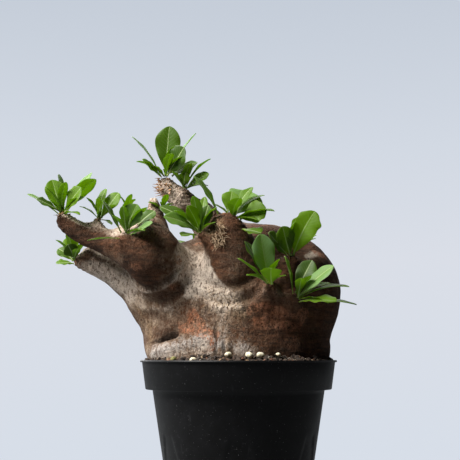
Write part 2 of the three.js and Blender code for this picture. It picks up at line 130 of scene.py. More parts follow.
class Finish(Value):
    """A new material and the nodes that its patterns start from."""

    def __init__(self, name, roughness=0.6):
        self.material = bpy.data.materials.new(name)
        self.material.use_nodes = True
        tree = self.material.node_tree
        self.shader = tree.nodes["Principled BSDF"]
        self.shader.inputs["Roughness"].default_value = roughness
        place = tree.nodes.new("ShaderNodeTexCoord").outputs["Object"]
        super().__init__(tree, place)

    def attribute(self, name):
        node = self.node("ShaderNodeAttribute", {"attribute_name": name})
        return Value(self.tree, node.outputs["Fac"])

    def stretched(self, x, y, z):
        """Object coordinates multiplied along each axis."""
        mapping = self.node("ShaderNodeMapping", Vector=self.socket, Scale=(x, y, z))
        return mapping.outputs["Vector"]

    def cloud(self, size, detail=3.0, rough=0.55, place=None):
        """Noise from 0 to 1 whose lumps are about size millimetres across."""
        where = place or self.socket
        sockets = {"Vector": where, "Scale": 1 / (size * MM), "Detail": detail, "Roughness": rough}
        return Value(self.tree, self.node("ShaderNodeTexNoise", None, **sockets).outputs["Fac"])

    def cells(self, size, feature):
        """A distance in a net with cells of about size millimetres: with the feature F1 it is to
        the nearest cell's middle, and with DISTANCE_TO_EDGE to the nearest edge."""
        sockets = {"Vector": self.socket, "Scale": 1 / (size * MM)}
        node = self.node("ShaderNodeTexVoronoi", {"feature": feature}, **sockets)
        return Value(self.tree, node.outputs["Distance"])

    def mixed(self, factor, one, other):
        """The colour one where factor is 0, and other where it is 1."""
        node = self.tree.nodes.new("ShaderNodeMix")
        node.data_type = "RGBA"
        for name, value in (("Factor", factor), ("A", one), ("B", other)):
            kind = "VALUE" if name == "Factor" else "RGBA"
            socket = next(s for s in node.inputs if s.name == name and s.type == kind)
            self.feed(socket, (*value, 1.0) if isinstance(value, tuple) else value)
        return next(s for s in node.outputs if s.type == "RGBA")

    def paint(self, colour=None, roughness=None, height=None, depth=0.2, strength=1.0):
        """Feeds the shader: its colour, roughness, and a bump whose full height is depth mm."""
        if colour is not None:
            self.feed(self.shader.inputs["Base Color"], colour)
        if roughness is not None:
            self.feed(self.shader.inputs["Roughness"], roughness)
        if height is not None:
            bump = self.node(
                "ShaderNodeBump", None, Height=height, Distance=depth * MM, Strength=strength
            )
            self.feed(self.shader.inputs["Normal"], bump.outputs[0])
        return self.material


def placed(name, mesh, material, slot=None, replaces=()):
    """Puts a mesh into the scene with one material and hides the CAD nodes that it replaces; if a
    slot is given, the piece is tied to the root body so that it stays with the pot.
    """
    piece = bpy.data.objects.new(name, mesh)
    bpy.context.scene.collection.objects.link(piece)
    mesh.materials.clear()
    mesh.materials.append(material)
    if slot:
        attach(piece, "root")
    if replaces:
        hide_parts(*replaces)
    return piece


def give_values(mesh, **attributes):
    """Gives a mesh named numbers, one for each point, that its material can read."""
    for key, values in attributes.items():
        layer = mesh.attributes.new(key, "FLOAT", "POINT")
        layer.data.foreach_set("value", np.asarray(values, np.float32).ravel())


def mesh_of(name, points, faces, smooth=True, **attributes):
    """A mesh from points in millimetres, lists of vertex numbers, and values for each point."""
    mesh = bpy.data.meshes.new(name)
    mesh.from_pydata(np.asarray(points, float) * MM, [], faces)
    give_values(mesh, **attributes)
    mesh.validate()
    if smooth:
        mesh.shade_smooth()
    return mesh


FLOOR_RADIUS, FLOOR_DROP, FLOOR_SIDES = 430, 0.6, 96
floor_angles = np.linspace(0, 2 * math.pi, FLOOR_SIDES, endpoint=False)
floor_points = np.column_stack(
    [np.cos(floor_angles), np.sin(floor_angles), np.zeros_like(floor_angles)]
)
floor_points = floor_points * FLOOR_RADIUS - [0, 0, FLOOR_DROP]
paper = Finish("studio_paper", 0.9)
paper_grain = paper.cloud(4.0, 2.0)
paper.paint(
    paper.mixed(paper_grain, (0.17, 0.18, 0.19), (0.19, 0.20, 0.21)), height=paper_grain, depth=0.02
)
floor_mesh = mesh_of("floor", floor_points, [list(range(FLOOR_SIDES))], smooth=False)
floor = placed("floor", floor_mesh, paper.material)
LIGHTS_AIM = (0, 0, 0.13)  # metres, the middle of the plant


def softbox(name, place, size, watts, colour):
    """A soft area light at place, in metres, that faces the plant and isn't seen itself."""
    light = bpy.data.lights.new(name, "AREA")
    light.shape, light.size, light.size_y = "RECTANGLE", *size
    light.energy, light.color = watts, colour
    lamp = bpy.data.objects.new(name, light)
    lamp.location = place
    away = lamp.location - type(lamp.location)(LIGHTS_AIM)
    lamp.rotation_euler = away.to_track_quat("Z", "Y").to_euler()
    lamp.visible_camera = False
    bpy.context.scene.collection.objects.link(lamp)


softbox("key", (-0.62, -0.30, 0.85), (0.5, 0.5), 28.0, (1.0, 0.98, 0.95))
softbox("back", (-0.62, 1.15, 1.1), (2.4, 1.7), 44.0, (1.0, 1.0, 1.0))

# The studio's far walls: a soft rise from the darker ceiling to the paler floor for what the
# eye sees, and a faint even glow for what they light.
world = bpy.data.worlds.new("studio")
bpy.context.scene.world = world
world.use_nodes = True
SKY = [
    (0.06, (0.680, 0.730, 0.807)), (0.45, (0.700, 0.731, 0.800)),
    (0.68, (0.645, 0.692, 0.768)), (0.96, (0.562, 0.614, 0.694)),
]
SKY_STRETCH, SKY_SHIFT = 2.083, 0.25  # SKY runs from just under the horizon to 20 degrees up
GLOW_FRONT, GLOW_BACK = (0.024, 0.024, 0.025), (0.40, 0.42, 0.44)
backdrop = Value(world.node_tree, None)
direction = backdrop.node("ShaderNodeTexCoord").outputs["Generated"]
axes = backdrop.node("ShaderNodeSeparateXYZ", None, i0=direction).outputs
rise = Value(world.node_tree, axes["Z"]) * SKY_STRETCH + SKY_SHIFT
sky = backdrop.node("ShaderNodeValToRGB", {"stops": SKY}, Fac=rise).outputs["Color"]
seen = backdrop.node("ShaderNodeBackground", None, Color=sky)
# The glow grows towards the back, a little upwards, and towards the left.
backwards = Value(world.node_tree, axes["Y"]) + 0.35 * Value(world.node_tree, axes["Z"])
backwards = backwards - 0.75 * Value(world.node_tree, axes["X"])
glow_stops = {"stops": [(0.0, GLOW_FRONT), (1.0, GLOW_BACK)]}
shine = backdrop.node("ShaderNodeValToRGB", glow_stops, Fac=backwards.within(-0.3, 0.9))
shine = shine.outputs["Color"]
lit = backdrop.node("ShaderNodeBackground", None, Color=shine)
straight = backdrop.node("ShaderNodeLightPath").outputs["Is Camera Ray"]
both = backdrop.node(
    "ShaderNodeMixShader", None, i0=straight, i1=lit.outputs[0], i2=seen.outputs[0]
)
world.node_tree.links.new(both.outputs[0], world.node_tree.nodes["World Output"].inputs[0])

# ------------------------------------------------------------------ what the frame gives
# The pot's lip is the level that the plant is measured from, and each tuft of leaves marks the
# end of a limb. Leaf nodes are named leaf_TUFT_NUMBER.
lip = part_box("pot")[1][2] / MM
lip_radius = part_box("pot")[1][0] / MM
leaf_nodes = sorted(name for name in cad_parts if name.startswith("leaf_"))


def rows_of(items, key):
    """What each item of a mesh holds under key, such as its place, in rows of three numbers."""
    flat = np.empty(3 * len(items), np.float32)
    items.foreach_get(key, flat)
    return flat.reshape(-1, 3)


def points_of(node):
    """A CAD node's corners in millimetres."""
    corners = rows_of(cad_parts[node].data.vertices, "co")
    return np.unique(np.round(corners / MM, 3), axis=0).astype(float)


def merged_copy(node):
    """A copy of a CAD node's mesh, its loose triangles joined."""
    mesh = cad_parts[node].data.copy()
    work = bmesh.new()
    work.from_mesh(mesh)
    bmesh.ops.remove_doubles(work, verts=work.verts, dist=0.002 * MM)
    work.to_mesh(mesh)
    work.free()
    return mesh


trunk_shell = merged_copy("trunk")
trunk_tree = BVHTree.FromPolygons(
    [v.co.copy() for v in trunk_shell.vertices], [p.vertices[:] for p in trunk_shell.polygons]
)


def off_trunk(point):
    """How far a point in millimetres is from the trunk's surface."""
    return trunk_tree.find_nearest(np.asarray(point) * MM)[3] / MM


def on_trunk(point):
    """The place on the trunk's surface that is nearest to a point, both in millimetres."""
    return np.array(trunk_tree.find_nearest(np.asarray(point) * MM)[0]) / MM


def measured_leaf(node):
    """Where a CAD leaf lies: its foot, its axes along, across and up, its length and width, the
    height of its arch and the slope of its fold. The axes are the directions in which its
    corners spread most and least, and the arch and fold are the least-squares fit of
    height = arch * 4u(1 - u) + fold * |across|, with u the share of the length."""
    corners = points_of(node)
    middle = corners.mean(0)
    axes = np.linalg.svd(corners - middle, full_matrices=False)[2]
    reach = (corners - middle) @ axes[0]
    ends = corners[reach.argmin()], corners[reach.argmax()]
    foot, tip = sorted(ends, key=off_trunk)
    length = np.linalg.norm(tip - foot)
    along = (tip - foot) / length
    up = axes[2] - axes[2] @ along * along
    up /= np.linalg.norm(up)
    local = corners - foot
    u = local @ along / length
    across = local @ np.cross(up, along)
    across -= (across.max() + across.min()) / 2
    terms = np.column_stack([4 * u * (1 - u), np.abs(across)])
    arch, fold = np.linalg.lstsq(terms, local @ up, rcond=None)[0]
    if fold < 0:
        up, arch, fold = -up, -arch, -fold
    return {
        "foot": foot,
        "along": along,
        "up": up,
        "length": length,
        "width": np.ptp(across),
        "arch": arch,
        "fold": fold,
    }


leaves = {node: measured_leaf(node) for node in leaf_nodes}
tufts = {}
for node, leaf in leaves.items():
    tufts.setdefault(node[len("leaf_") :].rsplit("_", 1)[0], []).append(leaf["foot"])
tufts = {name: np.mean(feet, axis=0) for name, feet in tufts.items()}

# ------------------------------------------------------------------ the trunk
# The trunk is a water-storing stem under thin, flaking bark: pale grey where it is old and dry,
# brown on the younger limbs, and rust-red where flakes have come away. Painted light and shade
# are added to its colour too: paler on the upward faces of the left limbs, browner partly as
# painted shade on their lower faces and low on the right side, and darker in crevices, creases
# and hollows.
VOXEL = 0.9
EVENING, EVENING_ROUNDS = 0.5, 10
YOUNG_REACH, RING_PITCH = 12, 2.6  # young bark from a tip, and its leaf-scar rings


def lumps(points, size, seed):
    """Smooth noise from -1 to 1: a random value at each corner of a cubic lattice of the given
    size, blended inside each cube by a smoothstep along each axis."""
    q = points / size + 31.7 * seed
    cell = np.floor(q).astype(np.int64)
    t = q - cell
    t = t * t * (3 - 2 * t)
    total = np.zeros(len(points))
    for corner in np.ndindex(2, 2, 2):
        c = cell + corner
        h = (c[:, 0] * 73856093) ^ (c[:, 1] * 19349663) ^ (c[:, 2] * 83492791)
        h = ((h + seed * 374761393) & 0xFFFFFFFF) * 1274126177 & 0xFFFFFFFF
        h = ((h ^ (h >> 15)) * 2246822519) & 0xFFFFFFFF
        value = ((h ^ (h >> 13)) & 0xFFFF) / 32767.5 - 1
        total += value * np.prod(np.where(corner, t, 1 - t), axis=1)
    return total


def rising(x, low, high):
    """0 below low, 1 above high, and a smoothstep between."""
    t = np.clip((x - low) / (high - low), 0, 1)
    return t * t * (3 - 2 * t)


def blob(points, centre, size):
    """A soft spot: 1 at its centre, falling as exp(-d*d) with d the distance in its own sizes."""
    return np.exp(-np.sum(((points - centre) / size) ** 2, axis=1))


def fine_trunk():
    """The CAD skin made smooth: subdivided, rebuilt from voxels, and evened out."""
    rough = bpy.data.objects.new("trunk_work", trunk_shell)
    bpy.context.scene.collection.objects.link(rough)
    finer = rough.modifiers.new("finer", "SUBSURF")
    finer.levels = finer.render_levels = 2
    remesh = rough.modifiers.new("remesh", "REMESH")
    remesh.mode, remesh.voxel_size = "VOXEL", VOXEL * MM
    even = rough.modifiers.new("even", "SMOOTH")
    even.factor, even.iterations = EVENING, EVENING_ROUNDS
    graph = bpy.context.evaluated_depsgraph_get()
    mesh = bpy.data.meshes.new_from_object(rough.evaluated_get(graph))
    bpy.data.objects.remove(rough)
    mesh.name = "trunk"
    return mesh


trunk_mesh = fine_trunk()
skin = rows_of(trunk_mesh.vertices, "co").astype(float) / MM
out = rows_of(trunk_mesh.vertex_normals, "vector").astype(float)
rel = skin - [0, 0, lip]  # heights above the lip

tuft_ends = np.array(list(tufts.values()))
to_tuft = np.min(np.linalg.norm(skin[:, None] - tuft_ends[None], axis=2), axis=1)


def stroke(a, b, width, fade=1.0):
    """A soft line from a to b on the bark: exp(-(d/width)^2), d the distance to the line."""
    a, b = np.array(a, float), np.array(b, float)
    t = np.clip((rel - a) @ (b - a) / ((b - a) @ (b - a)), 0, 1)
    away = np.linalg.norm(rel - a - t[:, None] * (b - a), axis=1)
    return fade * np.exp(-((away / width) ** 2))


BULGE, KNOB = np.array([-52.0, -21, 61]), np.array([-4.0, -27, 60])
SCAR = np.array([-15.5, -36.8, 77.5])
from_bulge = np.linalg.norm((rel - BULGE) * [1, 0.9, 1], axis=1)
from_knob = np.linalg.norm((rel - KNOB) * [1, 0.9, 1], axis=1)
from_scar = np.linalg.norm(rel - SCAR, axis=1)
broad = lumps(rel, 19, 1) + 0.5 * lumps(rel, 9, 2)
middling = lumps(rel, 5.5, 3) + 0.5 * lumps(rel, 2.8, 4)
banded = lumps(rel * [0.35, 0.35, 1.5], 5, 5)
front = rising(-rel[:, 1], -12, 4)
upward = rising(out[:, 2], 0.1, 0.7)
left_limbs = rising(-rel[:, 0], 54, 64)
high_up = rising(rel[:, 2], 58, 66)

# Growth folds run round under the bulge and the knob, a crest outside each crease.
waver = 0.9 * broad
under_bulge = rising(-rel[:, 2], -58, -47) * rising(-rel[:, 1], 2, 12)
under_knob = rising(-rel[:, 2], -54, -46) * rising(-rel[:, 1], 14, 26)
creases = under_bulge * (
    np.exp(-(((from_bulge - 18.8 - 0.4 * waver) / 0.9) ** 2))
    + 0.45 * np.exp(-(((from_bulge - 26.5 - waver) / 2.4) ** 2))
) + under_knob * (
    0.7 * np.exp(-(((from_knob - 20.5 - waver) / 1.7) ** 2))
    + 0.45 * np.exp(-(((from_knob - 28.5 - 1.3 * waver) / 1.5) ** 2))
)
crests = under_bulge * (
    np.exp(-(((from_bulge - 20.6 - 0.4 * waver) / 1.0) ** 2))
    + 0.6 * np.exp(-(((from_bulge - 31.5 - waver) / 2.4) ** 2))
) + under_knob * (
    0.6 * np.exp(-(((from_knob - 24.0 - waver) / 2.0) ** 2))
    + 0.4 * np.exp(-(((from_knob - 31.5 - 1.3 * waver) / 1.8) ** 2))
)
# A deep crevice above the swollen toe at the lower left, which runs up a little to the right.
cleft = rel[:, 2] - 14.6 - 0.30 * (rel[:, 0] + 37)
span = rising(rel[:, 0], -56, -44) * rising(-rel[:, 0], 34.5, 37.5) * front
crevice = span * np.exp(-((cleft / 1.15) ** 2))
hollow = span * np.exp(-(((cleft - 2.6) / 3.2) ** 2))
toe_span = rising(rel[:, 0], -56, -50) * rising(-rel[:, 0], 12, 26) * front
toe = toe_span * np.exp(-(((cleft + 6.0) / 4.6) ** 2))
# The crevice is deepest in a pocket near its right end.
pocket = stroke((-46, -21.5, 13.4), (-39.5, -25.5, 15.4), 1.9)
# An upright crack runs down to the mix, and a curl of bark stands off beside a shorter one.
seam_off = rel[:, 0] + 13.3 + 0.6 * lumps(rel, 3.5, 10)
seam = np.exp(-((seam_off / 0.75) ** 2)) * rising(-rel[:, 2], -25, -16) * rising(-rel[:, 1], 20, 30)
peel = stroke((-9.0, -41, 12), (-8.4, -41, 5), 1.1)
curl = stroke((-6.9, -41, 11), (-6.4, -41, 5), 1.4)

# Where the bark is old and pale: the saddle between the bulges, the crests and the toe. Part of
# the pale is painted light, on the upper faces and top edge of the left limbs.
young = np.exp(-((to_tuft / YOUNG_REACH) ** 2))
pale = (
    stroke((-30, -20, 71), (-20, -31, 50), 8.5)
    + stroke((-20, -31, 50), (-10, -36, 35), 8.5)
    + stroke((-38, -26, 66), (-30, -28, 42), 5.5, 0.5)
    + stroke((-50, -22, 4), (-24, -36, 8), 7.0, 0.62)
    + stroke((-16, -39, 9), (8, -40, 6), 5.0, 0.38)
    # Painted light: the low left limb's top edge and the upward faces of the left limbs are paler.
    + stroke((-92, -4, 58), (-68, -6, 42), 9.0) * (0.9 + 0.4 * upward)
    + stroke((-84, -6, 53), (-70, -6, 45), 7.0, 0.45)
    + 0.7 * left_limbs * upward * rising(rel[:, 2], 40, 50)
    + stroke((-37, -22, 72), (-34, -26, 60), 5.0, 0.7)
    + stroke((-50, 2, 113), (-43, 0, 101), 7.5, 1.2)
    + stroke((-42, 2, 104), (-28, 2, 92), 7.0, 0.45)
    + stroke((-62, -12, 36), (-54, -14, 20), 7.0, 0.2)
    + stroke((-8, -38, 20), (4, -40, 30), 6.0, 0.25)
    + stroke((58, -11, 48), (60, -9, 44), 4.0, 0.5)
    + stroke((41, -21, 61), (46, -14, 64), 3.2, 1.0)
    + stroke((14, -41, 34), (20, -41, 38), 4.0, 0.5)
    + stroke((12, -42, 43), (30, -38, 37), 5.0, 0.6)
    + stroke((14, 0, 88), (48, 6, 70), 9.0, 0.85)
    + stroke((-53, -8, 99), (-53, -10, 90), 6.0, 0.7)
    + stroke((-104, -16, 84), (-80, -14, 80), 6.0, 0.35)
    + 0.42 * crests
    + 0.45 * rising(rel[:, 1], 10, 34) * rising(rel[:, 2], 12, 50)
)
# The knob's left edge leans right as it goes up from the crease below, then left.
knob_edge = np.where(
    rel[:, 2] < 60, -17 + 0.03 * (60 - rel[:, 2]) ** 2, -17 - 0.6 * (rel[:, 2] - 60)
)
# Brown bark on the left bulge, the knob and the younger limbs. The lower faces of the left limbs and
# the foot of the right side are browner partly as painted shade.
brown = (
    rising(-from_bulge, -19.4, -18.4) * rising(-rel[:, 2], -80, -68) * front
    * rising(0.47 * (rel[:, 2] - 56) - 42.3 - rel[:, 0], -1.0, 1.5)
    + rising(rel[:, 0] - knob_edge, -1.0, 1.6) * rising(rel[:, 2], 36, 50) * front
    * rising(-rel[:, 2], -96, -84)
    + rising(rel[:, 0], 0, 16) * rising(-rel[:, 2], -64, -40) * rising(rel[:, 2], 10, 18) * front
    + stroke((-47, -22, 39), (-36, -26, 41), 4.0, 0.7)
    + stroke((-44, -26, 30), (-32, -28, 33), 3.0, 0.35)
    + stroke((-48, -22, 16), (-36, -28, 17), 4.0, 0.45)
    + stroke((2, -40, 18), (10, -40, 14), 7.0, 0.5)
    + stroke((22, -40, 6), (50, -20, 6), 9.0, 0.9)
    # Partly painted shade: the left limbs are browner where they face down or sideways.
    + left_limbs * (1 - upward) * (0.08 + 0.92 * high_up)
    + stroke((-104, -22, 76), (-84, -24, 74), 7.0, 0.5)
    + stroke((-64, -34, 62), (-50, -38, 56), 9.0, 0.4)
    + stroke((20, -38, 6), (36, -34, 6), 7.0, 0.8)
    + rising(rel[:, 0], 30, 52) * rising(-rel[:, 1], -20, 5) * rising(-rel[:, 2], -60, -30)
)
brown = np.clip(brown - stroke((-3, -42, 64), (3, -42, 54), 7.0, 0.3), 0, 1)
brown = brown * (1 - 0.9 * rising(-from_scar, -9.5, -6.5))
# Spots where the brown skin has worn thin: (share lost, from, to, width).
WORN_THIN = [
    (0.7, (-45, -37, 66), (-43, -35, 58), 7.0), (0.55, (12, -43, 42), (30, -40, 36), 7.0),
    (0.45, (-2, -42, 56), (4, -42, 42), 9.0), (0.9, (42, -20, 61), (47, -13, 64), 4.0),
    (0.7, (58, -11, 48), (60, -9, 44), 4.0),
]
for lost, start, end, width in WORN_THIN:
    brown = brown * (1 - lost * stroke(start, end, width))
pale = np.clip(pale + 0.13 * broad + 0.18 * middling - 0.9 * brown, 0, 1)
rust = (
    stroke((-28, -31, 28), (-24, -34, 20), 4.6)
    + stroke((-36, -28, 22), (-15, -39, 14), 3.8)
    + stroke((-16, -38, 14), (-15, -39, 7), 2.4, 0.8)
    + stroke((-36, -30, 58.6), (-35, -30, 58), 2.6, 1.2)
    + stroke((-32, -15, 74), (-25, -8, 72), 4.0, 0.9)
    + stroke((-44, -25, 46), (-38, -27, 43), 3.0, 0.5)
    + stroke((8, -38, 31), (40, -33, 27), 4.6, 1.0)
    + stroke((10, -38, 22), (36, -34, 18), 3.6, 0.95)
    + stroke((46, -14, 65), (51, -10, 63), 3.0, 0.9)
    + stroke((-60, -36, 54), (-48, -38, 50), 6.0, 0.5)
    + stroke((-62, -8, 28), (-52, -14, 18), 4.0, 0.42)
    + 0.55 * rising(rel[:, 1], 20, 40) * blob(rel, [20, 40, 30], [35, 30, 22])
)
rust = np.clip(rising(rust + 0.3 * middling + 0.16 * banded, 0.36, 0.62), 0, 1)
tan = stroke((-14, -37, 36), (0, -39, 30), 7.5) + stroke((-62, -8, 34), (-52, -12, 14), 6, 0.6)
tan = tan + 1.1 * np.exp(-(((from_scar - 5.0) / 1.8) ** 2)) + curl * 0.6
tan = tan + stroke((-12, -41, 74), (-8, -42, 69), 4.5, 0.7)
tan = np.clip(tan + 0.25 * middling, 0, 1)
flaking = stroke((-18, -36, 30), (2, -40, 24), 8.0, 1.1)
flaking = flaking + stroke((-8, -38, 34), (2, -40, 14), 7.0, 0.9)
flaking = np.clip(flaking + 0.35 * rust, 0, 1)
plates = rising(lumps(rel, 4.2, 6) + 0.6 * lumps(rel, 2.2, 7), -0.02, 0.1)
# Old leaf scars ring the young limbs.
rings = young * np.sin(2 * math.pi * (to_tuft + 0.5 * middling) / RING_PITCH)
veined = lumps(rel * [1.6, 1.6, 0.5], 3.2, 8)
# The dried hollow of an old growing tip on the knob, with a swollen rim.
scar = 1.3 * np.exp(-(((from_scar - 5.2) / 1.3) ** 2)) - 2.6 * np.exp(-((from_scar / 3.4) ** 2))
# The top limb and the upright one are slimmer than the CAD skin near their ends.
slimmer = stroke((-46, 8, 112), (-30, 6, 99), 9.0) + stroke((-52.5, -7, 99), (-53, -9, 88), 6.0)

height = (
    0.7 * broad
    + 0.22 * middling
    + 0.4 * flaking * plates
    - 1.6 * creases
    + 1.1 * crests
    - 3.4 * crevice
    - 1.5 * hollow
    + 1.6 * toe
    + 0.9 * scar
    - 1.5 * peel
    + 1.6 * curl
    - 1.0 * seam
    - 1.8 * pocket
    - 1.1 * slimmer
    + 0.26 * rings
    + 0.2 * brown * banded
    + 0.3 * young * lumps(rel, 1.9, 9)
    + 0.12 * veined
)
moved = ((skin + out * height[:, None]) * MM).astype(np.float32)
trunk_mesh.vertices.foreach_set("co", moved.ravel())
# Painted shade: the bark is darkened where shade falls, in the crevice and its pocket, the fold
# creases, the scar's hollow, the cracks, low on the right side and on the fronts under the left bulge
# and the far left limb.
shadowed = (
    1.3 * crevice
    + 0.45 * hollow
    + 0.45 * creases
    + 0.9 * np.exp(-((from_scar / 3.0) ** 2))
    + 0.9 * peel
    + 0.9 * pocket
    + 0.8 * seam
    + 0.5 * stroke((22, -38, 5), (50, -22, 8), 9.0)
    + 0.4 * stroke((-66, -36, 60), (-54, -38, 55), 8.0)
    + 0.4 * stroke((-106, -20, 77), (-84, -24, 74), 8.0)
)
give_values(
    trunk_mesh,
    pale=pale,
    rust=rust,
    young=young,
    brown=brown,
    dark=np.clip(shadowed, 0, 1),
    flaking=flaking,
    tan=tan,
    cool=np.clip(toe + stroke((-12, -40, 9), (12, -40, 7), 6.5), 0, 1),
)
trunk_mesh.update()
trunk_mesh.shade_smooth()

GREY_BARK, ASH, COOL_ASH = (0.21, 0.145, 0.10), (0.66, 0.55, 0.45), (0.46, 0.43, 0.41)
BROWN_BARK, DARK_BARK = (0.070, 0.027, 0.011), (0.012, 0.007, 0.004)
RUST_PALE = (0.46, 0.21, 0.12)
RUST, TAN, PINK = (0.30, 0.11, 0.052), (0.50, 0.34, 0.19), (0.26, 0.105, 0.05)

bark = Finish("bark", 0.82)
coarse = bark.cloud(6.0, 6.0, 0.6)
fine = bark.cloud(1.5, 5.0, 0.65)
grainy = bark.cloud(0.7, 3.0, 0.6)
streaks = bark.cloud(2.0, 5.0, 0.62, bark.stretched(1, 1, 0.28))
bands = bark.cloud(3.0, 5.0, 0.62, bark.stretched(0.3, 0.3, 1.6))
crack = 1.0 - bark.cells(3.0, "DISTANCE_TO_EDGE").within(0.0, 0.07)
cracked = crack * bark.attribute("flaking").within(0.15, 0.8) * coarse.within(0.42, 0.6)
cracked = cracked * (0.15 + 0.85 * fine.within(0.44, 0.54))
flecks = grainy.within(0.53, 0.66) * fine.within(0.40, 0.60)
dashes = bark.cloud(1.5, 2.0, 0.5, bark.stretched(1, 1, 0.38)).within(0.60, 0.66)
pits = (1.0 - bark.cells(2.4, "F1").within(0.12, 0.26)) * coarse.within(0.4, 0.6)
scales = bark.cloud(2.6, 2.0, 0.5).within(0.5, 0.56)
brown_here = bark.attribute("brown")
age = bark.attribute("pale") + (coarse - 0.5) * 1.0 + (fine - 0.5) * 0.8 + (streaks - 0.5) * 1.2
colour = bark.mixed(age.within(-0.3, 0.3), BROWN_BARK, GREY_BARK)
colour = bark.mixed(age.within(0.15, 0.8), colour, ASH)
colour = bark.mixed(bark.attribute("cool") * age.within(0.0, 0.6) * 0.7, colour, COOL_ASH)
colour = bark.mixed(bark.attribute("tan") * fine.within(0.35, 0.6) * 0.6, colour, TAN)
colour = bark.mixed(brown_here * (0.70 + 0.26 * streaks.within(0.35, 0.65)), colour, BROWN_BARK)
colour = bark.mixed(brown_here * bands.within(0.48, 0.66) * 0.34, colour, PINK)
colour = bark.mixed(brown_here * (1.0 - bands.within(0.36, 0.5)) * 0.6, colour, DARK_BARK)
flakes = bark.cloud(1.9, 4.0, 0.6, bark.stretched(1, 1, 0.6)).within(0.49, 0.54)
worn = bark.attribute("rust") * (fine * 0.7 + streaks * 0.45).within(0.49, 0.60)
worn = worn * (1.0 - 0.55 * flakes * (1.0 - brown_here))
rusty = bark.mixed(coarse.within(0.35, 0.65), RUST, RUST_PALE)
colour = bark.mixed(worn * (1.0 - brown_here * 0.35), colour, rusty)
calm = 1.0 - 0.7 * brown_here
pinkish = bark.attribute("young") * (0.1 + 0.4 * fine.within(0.4, 0.6)) * calm
colour = bark.mixed(pinkish, colour, PINK)
colour = bark.mixed(scales * 0.22 * calm, colour, GREY_BARK)
colour = bark.mixed(flecks * (0.7 - 0.4 * worn), colour, DARK_BARK)
colour = bark.mixed(dashes * 0.6, colour, BROWN_BARK)
colour = bark.mixed(pits * 0.55, colour, DARK_BARK)
colour = bark.mixed(grainy.within(0.42, 0.28) * 0.3 * calm, colour, TAN)
colour = bark.mixed(streaks.within(0.54, 0.68) * 0.6, colour, BROWN_BARK)
colour = bark.mixed(cracked * 0.7, colour, DARK_BARK)
# Painted shade: the dark values darken the bark where shade falls.
colour = bark.mixed(bark.attribute("dark") * 0.85, colour, DARK_BARK)
relief = fine * 0.7 + streaks * 0.4 + coarse * 0.4 + scales * 0.15 + grainy * 0.25
relief = relief - cracked * 0.6 - flecks * 0.4 - dashes * 0.3 - pits * 0.4
bark.paint(colour, 0.7 + 0.25 * fine, relief, 1.8, 1.0)
bark.shader.inputs["Specular IOR Level"].default_value = 0.16
placed("trunk_bark", trunk_mesh, bark.material, "bark", ["trunk"])

# ------------------------------------------------------------------ the leaves
# Each leaf is a thin, leathery blade on a short stalk: glossy green above with a pale midrib and
# fine side veins, duller and paler below, and it lets light through.
ALONG, ACROSS = 36, 17  # points of a blade's grid
STALK_SHARE, STALK_HALF = 0.07, 0.6
MOST_FOLD, WAVE, CURL = 0.3, 0.07, 0.09
GROOVE, KEEL = 0.14, 0.36  # the midrib's depth above and below, in millimetres
HALF_THICK, THICKER = 0.15, 0.05  # half the blade's thickness, and what the middle adds


def lathe_rows(columns, rows):
    """Quads of a grid with that many columns round and rows along, closed round."""
    c, r = np.meshgrid(np.arange(columns), np.arange(rows - 1))
    right = (c + 1) % columns
    quads = [r * columns + c, r * columns + right, (r + 1) * columns + right, (r + 1) * columns + c]
    return np.stack(quads, -1).reshape(-1, 4)


def blade_share(u, fullness):
    """Half the width at a share u of the length, over the widest: nothing along the stalk, then
    sin(pi * t^1.5)^fullness, which is widest past the middle and round at the tip."""
    t = np.clip((u - STALK_SHARE) / (1 - STALK_SHARE), 0, 1)
    return np.sin(math.pi * t**1.5) ** fullness


